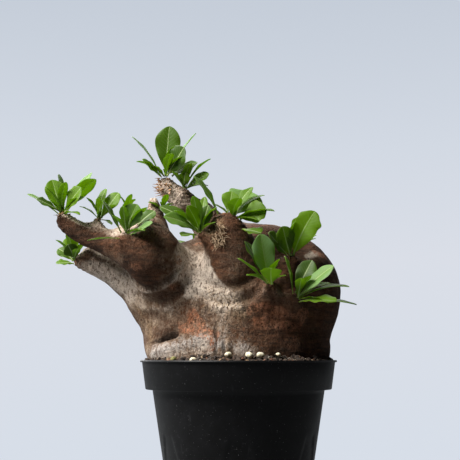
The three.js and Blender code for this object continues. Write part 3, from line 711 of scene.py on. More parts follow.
def leaf_mesh(name, leaf, rng, tone=None, lobed=0.035):
    """A closed thin shell: upper and lower faces of one sheet whose height over the chord is
    arch * 4u(1 - u) + fold * |across|, the fold being MOST_FOLD at most, with a slight twist, a
    wavy, shallowly lobed margin that curls down, a groove along the midrib above and a keel
    below. It draws seven random numbers, or six if it is given its tone."""
    u = np.linspace(0, 1, ALONG) ** 0.9
    u = 1 - (1 - u) ** 1.12
    v = np.linspace(-1, 1, ACROSS)
    v = np.sign(v) * np.abs(v) ** 0.85
    U, V = np.meshgrid(u, v, indexing="ij")
    half = leaf["width"] / 2 * blade_share(U, 0.56 + 0.1 * rng.random())
    lobes = lobed * np.sin(2 * math.pi * (3.1 * U + rng.random()) + 2.0 * np.sign(V))
    lobes += 0.5 * lobed * np.sin(2 * math.pi * (5.3 * U + rng.random()) - 1.0 * np.sign(V))
    half = half * (1 + lobes * rising(U, 0.3, 0.6) * rising(1 - U, 0.02, 0.15))
    girth = min(1.0, leaf["width"] / 8)
    stalk = STALK_HALF * girth * (1 + 0.8 * np.exp(-((U / 0.05) ** 2))) * (1 - 0.9 * U**6)
    half = np.sqrt(half**2 + stalk**2)
    across = V * half
    bowed = leaf["arch"] * 4 * U * (1 - U)
    rise = min(leaf["fold"], MOST_FOLD) * np.abs(across) * rising(U, 0.05, 0.4) * 0.9
    margin = np.abs(V) ** 3 * half
    wave = WAVE * margin * np.sin(2 * math.pi * (2.7 * U + rng.random()) + 1.5 * np.sign(V))
    curl = -CURL * margin
    twist = (rng.random() - 0.5) * 0.4 * U * across
    sway = (rng.random() - 0.5) * 0.07 * leaf["length"] * np.sin(math.pi * U)
    rib = np.exp(-((across / (0.55 * girth)) ** 2)) * (1 - 0.7 * U)
    side = np.cross(leaf["up"], leaf["along"])
    middle = bowed + rise + wave + curl + twist
    thick = (HALF_THICK + THICKER * (1 - np.abs(V))) * girth
    edge = 1 - np.abs(V) ** 12
    top = middle + thick * edge - GROOVE * girth * rib * rising(U, STALK_SHARE, 0.3)
    low = middle - thick * edge - KEEL * girth * rib

    def in_place(height, columns):
        return (
            leaf["foot"]
            + (U * leaf["length"])[..., None] * leaf["along"]
            + (across + sway)[..., None] * side
            + height[..., None] * leaf["up"]
        )[:, columns]

    under = slice(ACROSS - 2, 0, -1)
    shell = np.concatenate([in_place(top, slice(None)), in_place(low, under)], axis=1)
    ring = shell.shape[1]

    def both(values, upper, lower):
        return np.concatenate([values * upper, values[:, under] * lower], axis=1).ravel()

    quads = lathe_rows(ring, ALONG)[:, ::-1]
    start = np.arange(ACROSS - 1)
    cap = np.column_stack([start, start + 1, (ring - start - 1) % ring, (ring - start) % ring])
    caps = [cap[:, ::-1], cap + (ALONG - 1) * ring]
    faces = [row for part in (quads, *caps) for row in part.tolist()]
    faces = [[a for i, a in enumerate(row) if a != row[i - 1]] for row in faces]
    ones = np.ones_like(U)
    tone = rng.random() if tone is None else tone
    mesh = mesh_of(
        name,
        shell.reshape(-1, 3),
        faces,
        share_along=both(U, 1, 1),
        share_across=both(np.abs(V), 1, 1),
        from_rib=both(np.abs(across) / girth, 1, 1),
        upper=both(ones, 1, 0),
        tone=both(ones, 1, 1) * tone,
    )
    mesh.set_sharp_from_angle(angle=math.radians(60))
    return mesh


DEEP, BRIGHT, PAINTED_SHEEN = (0.018, 0.052, 0.0015), (0.12, 0.225, 0.003), (0.22, 0.37, 0.17)
BELOW, RIB, YELLOWISH = (0.13, 0.25, 0.03), (0.48, 0.58, 0.27), (0.27, 0.31, 0.015)
MARGIN, THROUGH = (0.30, 0.34, 0.12), (0.42, 0.63, 0.004)
LEAST_THROUGH, MORE_THROUGH = 0.08, 0.34  # the light let through by the deepest leaf, and added
VEINS, SLANT = 13.0, 2.6  # side veins along the midrib, and how far they run on at the margin

green = Finish("leaf", 0.36)
share = green.attribute("share_along")
to_edge = green.attribute("share_across")
tone = green.attribute("tone")
upper = green.attribute("upper")
blotch = green.cloud(5.0, 3.0)
ribs = 1.0 - (green.attribute("from_rib") + share * 0.35).within(0.18, 0.7)
# Side veins leave the midrib at a slant: lines of equal share minus a part of the way across.
slant = share * VEINS - to_edge * SLANT
slant = slant.maths("FRACT", slant)
vein = (slant - 0.5).maths("ABSOLUTE", slant - 0.5)
vein = (1.0 - vein.within(0.03, 0.16)) * to_edge.within(0.02, 0.1) * (1.0 - to_edge)
# The tone sets each leaf from deep to bright green, partly its own colour and partly painted shade and
# light; past 1 it blends on to a pale minty green, a painted sheen for light reflected off it.
colour = green.mixed(tone * 0.7 + blotch * 0.3, DEEP, BRIGHT)
colour = green.mixed(tone.within(1.0, 2.0) * (0.5 + 0.5 * to_edge), colour, PAINTED_SHEEN)
colour = green.mixed((1.0 - share.within(0.0, 0.35)) * 0.5, colour, YELLOWISH)
colour = green.mixed((1.0 - upper) * (0.3 + 0.35 * tone), colour, BELOW)
colour = green.mixed(vein * (0.13 + 0.2 * tone.within(1.0, 2.0)), colour, RIB)
colour = green.mixed(ribs * 0.85, colour, RIB)
colour = green.mixed(to_edge.within(0.93, 1.0) * 0.35, colour, MARGIN)
relief = blotch * 0.25 - vein * 0.5 + ribs * 0.4
green.paint(colour, 0.44 + 0.2 * (1.0 - upper) + 0.12 * blotch, relief, 0.08, 0.5)
green.shader.inputs["Specular IOR Level"].default_value = 0.24
glow = green.node("ShaderNodeBsdfTranslucent", None, Color=(*THROUGH, 1.0))
clear = LEAST_THROUGH + MORE_THROUGH * tone.within(-0.3, 0.7)
blend = green.node(
    "ShaderNodeMixShader", None, i0=clear, i1=green.shader.outputs[0], i2=glow.outputs[0]
)
green.tree.links.new(blend.outputs[0], green.tree.nodes["Material Output"].inputs[0])

# Some leaves are broader or slimmer than the rest, paler or deeper in colour, or more deeply
# lobed: (width times, tone, depth of the lobes). A leaf's tone stands partly for its own colour
# and partly for painted light and shade on it, and a tone past 1 adds a pale, minty painted sheen.
USUAL = (1.1, None, 0.035)
SPECIAL = {
    "top_1": (1.0, 0.2, 0.0), "top_2": (0.75, 1.7, 0.0), "top_4": (0.9, 1.8, 0.0),
    "top_5": (1.15, 0.0, 0.06), "top_side_2": (1.2, 0.6, 0.03), "middle_1": (1.15, 1.3, 0.03),
    "middle_2": (1.3, 1.2, 0.03), "middle_3": (1.7, 1.6, 0.05), "middle_4": (1.1, 0.8, 0.05),
    "middle_5": (1.25, 0.4, 0.04), "middle_left_1": (1.2, 1.4, 0.03),
    "middle_left_3": (1.1, 0.7, 0.03), "right_low_1": (1.1, 1.9, 0.02),
    "right_low_2": (1.4, 0.2, 0.04), "right_low_3": (1.2, 0.7, 0.03), "right_low_4": (1.0, 0.6, 0.05),
    "right_high_1": (1.1, 0.8, 0.08), "right_high_2": (1.2, 0.3, 0.07),
    "right_high_3": (1.2, 0.15, 0.03), "right_edge_1": (1.35, 0.4, 0.02),
    "right_edge_2": (1.1, 1.6, 0.02), "right_edge_3": (1.2, 0.0, 0.03),
    "right_edge_4": (1.3, 0.9, 0.03), "right_edge_5": (0.9, 1.1, 0.02),
    "far_left_1": (1.1, 1.5, 0.02), "far_left_2": (1.1, 0.1, 0.03), "far_left_3": (1.2, 0.7, 0.03),
    "far_left_5": (1.05, 0.9, 0.03), "far_left_6": (1.1, 0.8, 0.02), "far_left_7": (1.1, 1.6, 0.02),
    "low_left_1": (1.3, 0.9, 0.03), "low_left_3": (1.2, 0.0, 0.03), "low_left_4": (1.2, 0.8, 0.03),
    "left_front_1": (1.1, 0.3, 0.03), "left_front_2": (1.2, 1.5, 0.03),
    "left_front_3": (1.1, 1.7, 0.03), "left_front_5": (0.6, 0.3, 0.0), "left_top_1": (1.2, 1.0, 0.02),
    "left_top_2": (1.2, 1.2, 0.02), "left_top_3": (1.4, 1.3, 0.02),
}
leaf_rng = np.random.default_rng(5)
for node, leaf in leaves.items():
    wider, tone_of, lobed = SPECIAL.get(node[len("leaf_") :], USUAL)
    leaf["width"] *= wider
    blade = leaf_mesh(node, leaf, leaf_rng, tone_of, lobed)
    placed(node.replace("leaf_", "blade_"), blade, green.material, "leaf_green", [node])

# ------------------------------------------------------------------ the young leaves and buds
# Each growing tip also carries small, thin young leaves and a tight bud of the next ones, paler
# and more yellow than the rest. They grow from the same tips as the large leaves. Each row is how
# far a leaf reaches from its foot along X, Y and Z, and its width.
tufts["upright"] = np.array([-46.5, -11.0, lip + 92])
tufts["left_knob"] = np.array([-68.0, -14.0, lip + 90])
YOUNG = {
    "far_left": [(12, -13, -2, 6), (-9, -8, 15, 5), (3, -8, 18, 6), (14, -10, 9, 7), (-5, -10, 7, 5)],
    "left_top": [(8, -8, -4, 5), (-7, -6, 12, 5), (10, -4, 8, 6), (3, 4, 19, 6), (-12, 2, 8, 5)],
    "left_front": [(-1, -11, 14, 6), (11, -13, 0, 6), (3, -5, 22, 8), (12, -6, 14, 8), (-7, -9, 9, 5)],
    "low_left": [(4, -12, 6, 5), (-10, -6, 12, 7), (-3, -8, 16, 7), (9, -8, 12, 5)],
    "top": [(5, -18, 11, 6), (-17, -8, 8, 8), (12, -12, 10, 8), (6, -9, 17, 6), (-8, -8, 5, 5)],
    "top_side": [(-7, -9, 9, 5), (7, 3, 17, 5), (14, 5, 3, 5), (16, -4, 18, 6), (4, -10, 14, 6)],
    "middle_left": [(3, 6, 22, 6), (10, -5, 14, 7), (-14, -6, 12, 8), (-3, -9, 20, 7), (9, -8, 5, 5)],
    "middle": [
        (19, 12, 16, 7), (17, 2, 2, 7), (-11, 2, 9, 5), (24, -6, 4, 10), (4, -8, 11, 9),
        (14, -10, -2, 6), (12, 8, 20, 8),
    ],
    "right_low": [(6, -6, 13, 8), (-12, -10, 4, 8), (9, -6, 4, 6)],
    "right_high": [(16, 12, 14, 6), (3, -4, 20, 8), (15, 4, 11, 5), (-2, -6, 11, 4)],
    "right_edge": [(19, 8, 9, 8), (1, -16, 10, 6), (16, -8, -3, 9), (7, -8, 12, 6), (28, -8, 6, 8)],
    "back_left": [(-8, 9, 10, 7), (9, 8, 12, 6), (0, 12, 5, 6), (-4, 2, 16, 7)],
    "back_right": [(8, 9, 10, 7), (-9, 8, 12, 6), (0, 12, 5, 6), (4, 2, 16, 7)],
    "upright": [(-8, -3, 4, 7), (6, -3, 3, 6), (3, -6, 8, 5)],
    "left_knob": [(-4, -3, 9, 5), (5, -4, 7, 5)],
}
YOUNG_ARCH = 0.09
BUDS = [(-1.2, 0.4, 4.5, 2.2), (1.4, -0.6, 5.5, 2.4), (0.2, -1.6, 4.0, 2.0), (0.3, 1.3, 5.0, 2.2)]


def young_leaf(foot, reach, width):
    """A leaf that reaches that far from its foot and turns its upper side up and a little to the
    front, with an arch of a share YOUNG_ARCH of its length."""
    length = np.linalg.norm(reach)
    along = reach / length
    facing = np.array([0, -0.15, 1.0])
    up = facing - (facing @ along) * along
    return {
        "foot": foot + along * 0.8 - [0, 0, 0.8],
        "along": along,
        "up": up / np.linalg.norm(up),
        "length": length,
        "width": width,
        "arch": YOUNG_ARCH * length,
        "fold": MOST_FOLD,
    }


young_rng = np.random.default_rng(17)
for tuft, reaches in YOUNG.items():
    for number, (*reach, width) in enumerate(reaches + BUDS):
        sprig = young_leaf(tufts[tuft], np.array(reach, float), width)
        mesh = leaf_mesh(f"sprig_{tuft}_{number}", sprig, young_rng, 0.5 + 0.5 * young_rng.random())
        placed(mesh.name, mesh, green.material, "leaf_green")

# ------------------------------------------------------------------ the spines
# Pairs of stiff thorns stand round the growing tips, tan with darker points. They are outgrowths
# of the bark.
THORN_SIDES, THORN_RINGS = 5, 5
THORN_BASE, THORN_POINT, THORN_SAG = 0.42, 0.03, 0.5  # radii, and how far the point sags
THORN_SPREAD, THORN_SCATTER = 0.3, 1.9  # of directions, and of feet in millimetres
THORN_ROOT = 1.2  # how deep a foot is in the bark


def tube_faces(sides, rings, first):
    """Faces of a closed tube of rings of points, capped at both ends, from a first point on."""
    last = first + sides * rings - 1
    caps = [[first + i for i in range(sides)], [last - i for i in range(sides)]]
    return (lathe_rows(sides, rings)[:, ::-1] + first).tolist() + caps


def tube_points(axis, radii, a, b, sides):
    """Rings of points round an axis, of those radii, in the plane of the directions a and b."""
    ring = np.linspace(0, 2 * math.pi, sides, endpoint=False)
    circle = np.cos(ring)[None, :, None] * a + np.sin(ring)[None, :, None] * b
    return (axis[:, None] + radii[:, None, None] * circle).reshape(-1, 3)


def thorns(name, sites, rng):
    """Cones with a curved axis: foot + dir * L * t - THORN_SAG * t * t up, radius THORN_BASE *
    (1 - t) + THORN_POINT, for t from 0 to 1. Each site is (place, direction, count, length), and
    each foot is THORN_ROOT under the skin near its site."""
    t = np.linspace(0, 1, THORN_RINGS)
    points, faces, shades = [], [], []
    for place, heading, number, length in sites:
        heading = np.asarray(heading, float) / np.linalg.norm(heading)
        for _ in range(number):
            way = heading + THORN_SPREAD * rng.standard_normal(3)
            way /= np.linalg.norm(way)
            near = np.asarray(place) + rng.standard_normal(3) * THORN_SCATTER
            foot = on_trunk(near) - way * THORN_ROOT
            reach = length * rng.uniform(0.55, 1.15)
            axis = foot + way * reach * t[:, None] - [0, 0, THORN_SAG] * t[:, None] ** 2
            a = np.cross(way, [0.3, 0.2, 1.0])
            a /= np.linalg.norm(a)
            b = np.cross(way, a)
            radii = THORN_BASE * (1 - t) + THORN_POINT
            faces += tube_faces(THORN_SIDES, THORN_RINGS, sum(map(len, points)))
            points.append(tube_points(axis, radii, a, b, THORN_SIDES))
            shades.append(np.repeat(t, THORN_SIDES))
    return mesh_of(name, np.concatenate(points), faces, tip=np.concatenate(shades))


up = np.array([0, 0, lip])
thorn_sites = [
    (up + [-50, 5, 113], (-1, -0.4, 0.5), 6, 4.2),
    (up + [-51, 5, 109], (-1, -0.4, 0.1), 6, 5.2),
    (up + [-50, 4, 104], (-1, -0.5, 0.0), 6, 5.4),
    (up + [-48, 3, 100], (-1, -0.6, -0.2), 4, 4.6),
    (up + [-45, 2, 111], (-0.4, -0.9, 0.3), 7, 3.2),
    (up + [-44, 1, 105], (-0.3, -1, 0.1), 6, 3.0),
    (tufts["far_left"], (-1, -0.4, -0.2), 12, 4.0),
    (tufts["low_left"], (-0.8, -0.6, 0), 8, 3.0),
    (tufts["left_top"], (0.3, -1, 0.3), 8, 3.0),
    (tufts["middle"], (0.2, -1, 0.2), 12, 3.5),
    (tufts["right_low"], (0.2, -1, 0), 6, 2.5),
    (tufts["right_high"], (0, -1, 0.3), 10, 3.0),
    (tufts["back_left"], (-0.3, 1, 0.3), 12, 3.5),
    (tufts["back_right"], (0.3, 1, 0.3), 12, 3.5),
]
horn = Finish("thorn", 0.6)
tip = horn.attribute("tip")
ends = horn.mixed(horn.cloud(1.0, 2.0), (0.46, 0.22, 0.09), (0.66, 0.42, 0.22))
ends = horn.mixed(tip.within(0.5, 1.0) * 0.7, ends, (0.28, 0.08, 0.035))
horn.paint(ends)
placed("thorns", thorns("thorns", thorn_sites, np.random.default_rng(3)), horn.material, "bark")

# ------------------------------------------------------------------ the dried flower stalks
# A tuft of thin, tan, brittle stalks is left from old flowers round the dried hollow on the knob.
# Each is a bent tube that starts in the skin.
STRAW_SIDES, STRAW_RINGS, STRAW_COUNT = 6, 11, 90
STRAW_ROOT, STRAW_TAPER = 0.4, 0.6


def straws(name, starts, rng):
    """Bent tubes: start + dir * L * t + curl * (sin(w t + p) - sin p, cos(w t + p) - cos p) across
    it, with radius r * (1 - STRAW_TAPER * t), for t from 0 to 1."""
    t = np.linspace(0, 1, STRAW_RINGS)
    points, faces = [], []
    for near, heading, length, radius in starts:
        way = np.asarray(heading, float) / np.linalg.norm(heading)
        foot = on_trunk(near) - way * STRAW_ROOT
        a = np.cross(way, [0.2, 1.0, 0.1])
        a /= np.linalg.norm(a)
        b = np.cross(way, a)
        w, p, curl = rng.uniform(2, 5), rng.uniform(0, 6), rng.uniform(0.2, 0.9)
        bend = np.stack([np.sin(w * t + p) - math.sin(p), np.cos(w * t + p) - math.cos(p)], -1)
        axis = foot + way * length * t[:, None] + curl * (bend @ np.stack([a, b]))
        faces += tube_faces(STRAW_SIDES, STRAW_RINGS, sum(map(len, points)))
        points.append(tube_points(axis, radius * (1 - STRAW_TAPER * t), a, b, STRAW_SIDES))
    return mesh_of(name, np.concatenate(points), faces)


straw_rng = np.random.default_rng(8)
stalks_at = up + [-12.8, -42, 73.0]
straw_starts = [
    (
        stalks_at + straw_rng.uniform(-1, 1, 3) * [5.0, 1.0, 7.0],
        (straw_rng.uniform(-0.5, 0.6), -0.45, straw_rng.uniform(-1.5, 0.4)),
        straw_rng.uniform(2.5, 6.5),
        straw_rng.uniform(0.12, 0.30),
    )
    for _ in range(STRAW_COUNT)
]
husk = Finish("straw", 0.8)
fibres = husk.cloud(1.2, 4.0, 0.6)
husk.paint(husk.mixed(fibres, (0.15, 0.085, 0.042), (0.50, 0.37, 0.23)), None, fibres, 0.2, 0.8)
placed("straws", straws("straws", straw_starts, straw_rng), husk.material, "bark")

# ------------------------------------------------------------------ the pot
# The pot is moulded in black plastic about 1.4 mm thick: a thin lip, a deep band that stiffens the
# mouth, a tapering body with shallow wedge-shaped panels, and slits at the foot that let water out.
POT_TOP = lip
WALL, FLOOR = 1.4, 1.6
BAND_DEPTH, BAND_TOP, BAND_LOW = 17.4, 58.8, 56.6
BODY_TOP, FOOT, CHAMFER = 52.3, 38.6, 1.2
LIP_OUT, LIP_THICK = lip_radius, 1.2
BAND_FROM = POT_TOP - BAND_DEPTH
SLITS, SLIT_WIDTH, SLIT_HEIGHT, SLIT_INSET = 6, 3.0, 24.0, 11.0


def sampled(corners, steps):
    """Points along a line through corners, with that many steps on each stretch."""
    rows = [
        np.linspace(a, b, n, endpoint=False)
        for a, b, n in zip(corners[:-1], corners[1:], steps)
    ]
    return np.concatenate([*rows, [corners[-1]]])


STEPS = (6, 6, 1, 12, 30, 2, 2, 8, 1, 2, 1)
taper = (BODY_TOP - FOOT) / BAND_FROM
outside = sampled(
    np.array([
        (0, 0), (FOOT - SLIT_INSET, 0), (FOOT - CHAMFER, 0), (FOOT, CHAMFER),
        (FOOT + taper * SLIT_HEIGHT, SLIT_HEIGHT), (BODY_TOP, BAND_FROM - 0.4),
        (BODY_TOP + 0.4, BAND_FROM), (BAND_LOW - 0.3, BAND_FROM), (BAND_LOW, BAND_FROM + 0.3),
        (BAND_TOP, POT_TOP - LIP_THICK), (LIP_OUT - 0.3, POT_TOP - LIP_THICK),
        (LIP_OUT, POT_TOP - LIP_THICK / 2),
    ]),
    STEPS,
)
inside = sampled(
    np.array([
        (0, FLOOR), (FOOT - SLIT_INSET, FLOOR), (FOOT - CHAMFER - WALL, FLOOR),
        (FOOT - WALL + taper * FLOOR, FLOOR + 0.3),
        (FOOT - WALL + taper * SLIT_HEIGHT, SLIT_HEIGHT),
        (BODY_TOP - WALL, BAND_FROM + WALL - 0.4), (BODY_TOP - WALL + 0.4, BAND_FROM + WALL),
        (BAND_LOW - WALL - 0.3, BAND_FROM + WALL), (BAND_LOW - WALL, BAND_FROM + WALL + 0.3),
        (BAND_TOP - WALL, POT_TOP - 0.35), (BAND_TOP - WALL + 0.3, POT_TOP),
        (LIP_OUT - 0.4, POT_TOP),
    ]),
    STEPS,
)
rows = len(outside)
PER_SLIT, IN_SLIT = 40, 4  # columns from one slit to the next, and those across the slit
columns = SLITS * PER_SLIT
# Columns crowd to each slit's edges, so that the slit's sides are straight.
turn = 2 * math.pi / SLITS
half_slit = math.asin(SLIT_WIDTH / 2 / FOOT)
part_turn = np.concatenate(
    [np.linspace(-half_slit, half_slit, IN_SLIT, endpoint=False),
     np.linspace(half_slit, turn - half_slit, PER_SLIT - IN_SLIT, endpoint=False)]
)
angles = (np.arange(SLITS)[:, None] * turn + part_turn[None]).ravel() - math.pi / 2


PANEL_TOP, PANEL_TOP_HALF, PANEL_SLOPE, PANEL_DEPTH = POT_TOP - 44.0, 5.5, 0.25, 0.55


def panel_sink(angle, z):
    """How far a panel is sunk at an angle and height. There is one over each slit: a wedge that
    narrows upwards to a flat top, its edges rounded by a smoothstep."""
    r = FOOT + taper * z
    off = (angle + math.pi / 2 + turn / 2) % turn - turn / 2
    half = PANEL_TOP_HALF + PANEL_SLOPE * (PANEL_TOP - z)
    inside_by = np.minimum(half - np.abs(off * r), PANEL_TOP - z)
    return PANEL_DEPTH * rising(inside_by, 0, 0.9) * (z > CHAMFER) * rising(z, 0, 5)


A, Z = np.meshgrid(angles, outside[:, 1])
R = np.repeat(outside[:, :1], columns, 1)
on_body = (np.arange(rows) > sum(STEPS[:3])) & (np.arange(rows) < sum(STEPS[:5]))
R = R - np.where(on_body[:, None], panel_sink(A, Z), 0)
outer = np.stack([R * np.cos(A), R * np.sin(A), Z], -1)
A, Z = np.meshgrid(angles, inside[:, 1])
R = np.repeat(inside[:, :1], columns, 1)
inner = np.stack([R * np.cos(A), R * np.sin(A), Z], -1)


def thick_sheet(outer, inner, kept):
    """Faces of a wall between two grids of points: both faces where a cell is kept, a strip
    round each hole, and one along the last row. The first row is a single point."""
    rows, columns = outer.shape[:2]
    first = 1 + np.arange(rows * columns).reshape(rows, columns) - columns
    second = first + (rows - 1) * columns + 1
    turned = np.roll(np.arange(columns), -1)
    faces = []
    for grid, middle, flip in ((first, 0, False), (second, first.max() + 1, True)):
        a, b = grid[1:-1], grid[2:]
        quads = np.stack([a, a[:, turned], b[:, turned], b], -1)[kept[1:]]
        fan = np.stack([np.full(columns, middle), grid[1][turned], grid[1]], -1)
        fan = fan[:, ::-1]
        faces += (quads[:, ::-1] if flip else quads).tolist()
        faces += (fan[:, ::-1] if flip else fan).tolist()
    strip = np.stack([first[-1], first[-1][turned], second[-1][turned], second[-1]], -1)
    faces += strip[kept[-1]].tolist()
    for r in range(1, rows - 1):
        for gone, way in ((~kept[r] & kept[r - 1], 1), (kept[r] & ~kept[r - 1], -1)):
            c = np.flatnonzero(gone)
            n = turned[c]
            edge = np.stack([first[r][c], first[r][n], second[r][n], second[r][c]], -1)
            faces += edge[:, ::way].tolist()
        before = np.roll(kept[r], 1)
        for gone, way in ((~kept[r] & before, -1), (kept[r] & ~before, 1)):
            c = np.flatnonzero(gone)
            edge = [first[r][c], first[r + 1][c], second[r + 1][c], second[r][c]]
            faces += np.stack(edge, -1)[:, ::way].tolist()
    points = np.concatenate(
        [outer[0, :1], outer[1:].reshape(-1, 3), inner[0, :1], inner[1:].reshape(-1, 3)]
    )
    return points, faces


kept = np.ones((rows - 1, columns), bool)
slit_rows = slice(STEPS[0], sum(STEPS[:4]))
in_slit = np.tile(np.arange(PER_SLIT) < IN_SLIT, SLITS)
kept[slit_rows, in_slit] = False
pot_points, pot_faces = thick_sheet(outer, inner, kept)
pot_mesh = mesh_of("pot", pot_points, pot_faces, smooth=False)
work = bmesh.new()
work.from_mesh(pot_mesh)
bmesh.ops.recalc_face_normals(work, faces=work.faces)
work.to_mesh(pot_mesh)
work.free()
pot_mesh.shade_smooth()
pot_mesh.set_sharp_from_angle(angle=math.radians(38))

black = Finish("pot_plastic", 0.42)
dust = black.cloud(9.0, 5.0, 0.6)
marks = black.cloud(2.4, 3.0, 0.5).within(0.64, 0.72) * dust.within(0.45, 0.62)
specks = black.cloud(0.75, 1.0, 0.5).within(0.735, 0.79)
scuffs = black.cloud(3.0, 4.0, 0.6, black.stretched(1, 1, 0.15)).within(0.62, 0.8)
colour = black.mixed(dust.within(0.35, 0.75), (0.0016, 0.0016, 0.0017), (0.0038, 0.0039, 0.0045))
colour = black.mixed(marks * 0.12, colour, (0.10, 0.10, 0.11))
colour = black.mixed(specks * 0.55, colour, (0.22, 0.22, 0.22))
colour = black.mixed(scuffs * 0.18, colour, (0.07, 0.07, 0.075))
black.paint(colour, 0.36 + 0.22 * dust + 0.2 * marks, dust * 0.4 + specks * 0.6, 0.08, 0.5)
black.shader.inputs["Specular IOR Level"].default_value = 0.15
placed("pot_shell", pot_mesh, black.material, "pot_plastic", ["pot"])

# ------------------------------------------------------------------ the potting mix
# The mix is dark fine bark and grit, heaped a little against the trunk, with loose grains of
# bark, pumice and burnt clay on top and a few cream pellets of slow fertiliser.
HEAP_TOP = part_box("soil")[1][2] / MM
MIX_EDGE = HEAP_TOP - 2.6
MOUTH = BAND_TOP - WALL - 0.5


def ground(x, y):
    """The height of the mix at a place: flat in the middle, falling to the wall, with lumps."""
    r = np.hypot(x, y)
    flat_part = MIX_EDGE + (HEAP_TOP - MIX_EDGE) * rising(-r, -MOUTH, -0.86 * MOUTH)
    spots = np.column_stack([x, y, np.zeros_like(x)])
    return flat_part + 0.45 * lumps(spots, 3.5, 21) + 0.25 * lumps(spots, 1.5, 22)


SPOKES = 240
mix_angles = np.linspace(0, 2 * math.pi, SPOKES, endpoint=False)
top_radii = np.linspace(MOUTH, 30, 24)
side = inside[STEPS[0] :][::3] - [0.5, 0]
side = side[side[:, 1] < MIX_EDGE - 2]
side[:, 1] = np.maximum(side[:, 1], FLOOR + 0.4)
side = side[side[:, 0] > 1]
radii = np.concatenate([side[:, 0], top_radii])
X = radii[:, None] * np.cos(mix_angles)
Y = radii[:, None] * np.sin(mix_angles)
tops = ground(X[len(side) :].ravel(), Y[len(side) :].ravel()).reshape(-1, SPOKES)
Z = np.concatenate([np.repeat(side[:, 1:], SPOKES, 1), tops])
mix_points = np.stack([X, Y, Z], -1).reshape(-1, 3)
mix_faces = lathe_rows(SPOKES, len(radii)).tolist()
mix_faces.append(list(range(SPOKES))[::-1])
mix_faces.append([len(mix_points) - SPOKES + i for i in range(SPOKES)])
soil_mesh = mesh_of("soil", mix_points, mix_faces)

mix = Finish("potting_mix", 0.95)
crumbs = mix.cloud(1.4, 5.0, 0.7)
patches = mix.cloud(5.0, 3.0)
colour = mix.mixed(crumbs.within(0.35, 0.65), (0.012, 0.008, 0.006), (0.07, 0.045, 0.03))
colour = mix.mixed(patches.within(0.6, 0.75) * 0.5, colour, (0.12, 0.07, 0.04))
mix.paint(colour, None, crumbs, 1.2, 1.0)
placed("soil_bed", soil_mesh, mix.material, "soil_mix", ["soil"])


BEARINGS, EDGE_BAND = 90, 2.5


def trunk_edge(angle):
    """How far out the trunk reaches at the level of the mix, looking from the pot's middle: the
    furthest point in each of BEARINGS equal turns, read between them."""
    low_part = np.abs(skin[:, 2] - HEAP_TOP) < EDGE_BAND
    bearings = np.arctan2(skin[low_part, 1], skin[low_part, 0])
    reach = np.hypot(skin[low_part, 0], skin[low_part, 1])
    bins = ((bearings + math.pi) / (2 * math.pi) * BEARINGS).astype(int) % BEARINGS
    most = np.zeros(BEARINGS)
    np.maximum.at(most, bins, reach)
    turns = (np.asarray(angle) + math.pi) % (2 * math.pi) / (2 * math.pi) * BEARINGS - 0.5
    return np.interp(turns, np.arange(-1, BEARINGS + 1), np.r_[most[-1], most, most[0]])


def pebble():
    """A lump before it is squashed: an icosahedron's twelve corners and twenty faces."""
    work = bmesh.new()
    bmesh.ops.create_icosphere(work, subdivisions=1, radius=1)
    corners = np.array([v.co for v in work.verts])
    faces = np.array([[v.index for v in f.verts] for f in work.faces])
    work.free()
    return corners, faces


def scattered(name, count, sizes, flatness, lift, seed):
    """Many lumps on the mix: each is the pebble, squashed, turned about all axes, its corners
    pushed in and out, and set down between the trunk and the wall."""
    rng = np.random.default_rng(seed)
    angle = rng.uniform(0, 2 * math.pi, count)
    near, far = trunk_edge(angle) + 0.2, MOUTH - 0.8
    radius = near + (far - near) * rng.random(count) ** 0.8
    size = rng.uniform(*sizes, count)
    corners, faces = pebble()
    shape = corners[None] * (1 + 0.25 * rng.standard_normal((count, len(corners), 1)))
    shape = shape * np.stack([size, size * rng.uniform(0.6, 1, count), size * flatness], -1)[:, None]
    turns = np.linalg.qr(rng.standard_normal((count, 3, 3)))[0]
    turns *= np.linalg.det(turns)[:, None, None]
    shape = np.einsum("nij,nkj->nki", turns, shape)
    x, y = radius * np.cos(angle), radius * np.sin(angle)
    seat = np.stack([x, y, ground(x, y) + lift * size], -1)
    points = (shape + seat[:, None]).reshape(-1, 3)
    all_faces = (faces[None] + len(corners) * np.arange(count)[:, None, None]).reshape(-1, 3)
    shade = np.repeat(rng.random(count), len(corners))
    return mesh_of(name, points, all_faces.tolist(), smooth=False, shade=shade)


grit = Finish("grit", 0.85)
shade = grit.attribute("shade")
GRAIN_TINTS = [
    (0.0, (0.02, 0.013, 0.01)), (0.3, (0.05, 0.03, 0.02)), (0.5, (0.13, 0.065, 0.035)),
    (0.62, (0.20, 0.08, 0.045)), (0.74, (0.30, 0.22, 0.12)), (0.86, (0.36, 0.33, 0.27)),
    (1.0, (0.07, 0.055, 0.045)),
]
tints = grit.node("ShaderNodeValToRGB", {"stops": GRAIN_TINTS}, Fac=shade).outputs["Color"]
dusty = grit.cloud(1.0, 4.0, 0.7)
grit.paint(grit.mixed(dusty * 0.35, tints, (0.03, 0.02, 0.015)), None, dusty, 0.4, 0.9)
grains = scattered("grains", 900, (0.5, 1.35), 0.6, 0.35, 31)
placed("grains", grains, grit.material, "soil_mix")
crumb = scattered("crumbs", 260, (1.1, 2.0), 0.7, 0.5, 32)
placed("crumbs", crumb, mix.material, "soil_mix")

cream = Finish("pellet", 0.6)
wear = cream.cloud(1.6, 4.0, 0.6)
dots = cream.cloud(3.1, 1.0, 0.4).within(0.66, 0.7)
colour = cream.mixed(wear.within(0.35, 0.7), (0.62, 0.55, 0.36), (0.78, 0.74, 0.60))
colour = cream.mixed(dots * 0.8, colour, (0.16, 0.09, 0.04))
cream.paint(colour, None, wear, 0.15, 0.8)


PELLET_SIDES, PELLET_RINGS = 20, 17
PELLET_LENGTH, PELLET_WIDTH, SLIMMER_BY = 4.7, 3.6, 0.15  # each next pellet is a little slimmer
PELLET_LIFT = 0.3


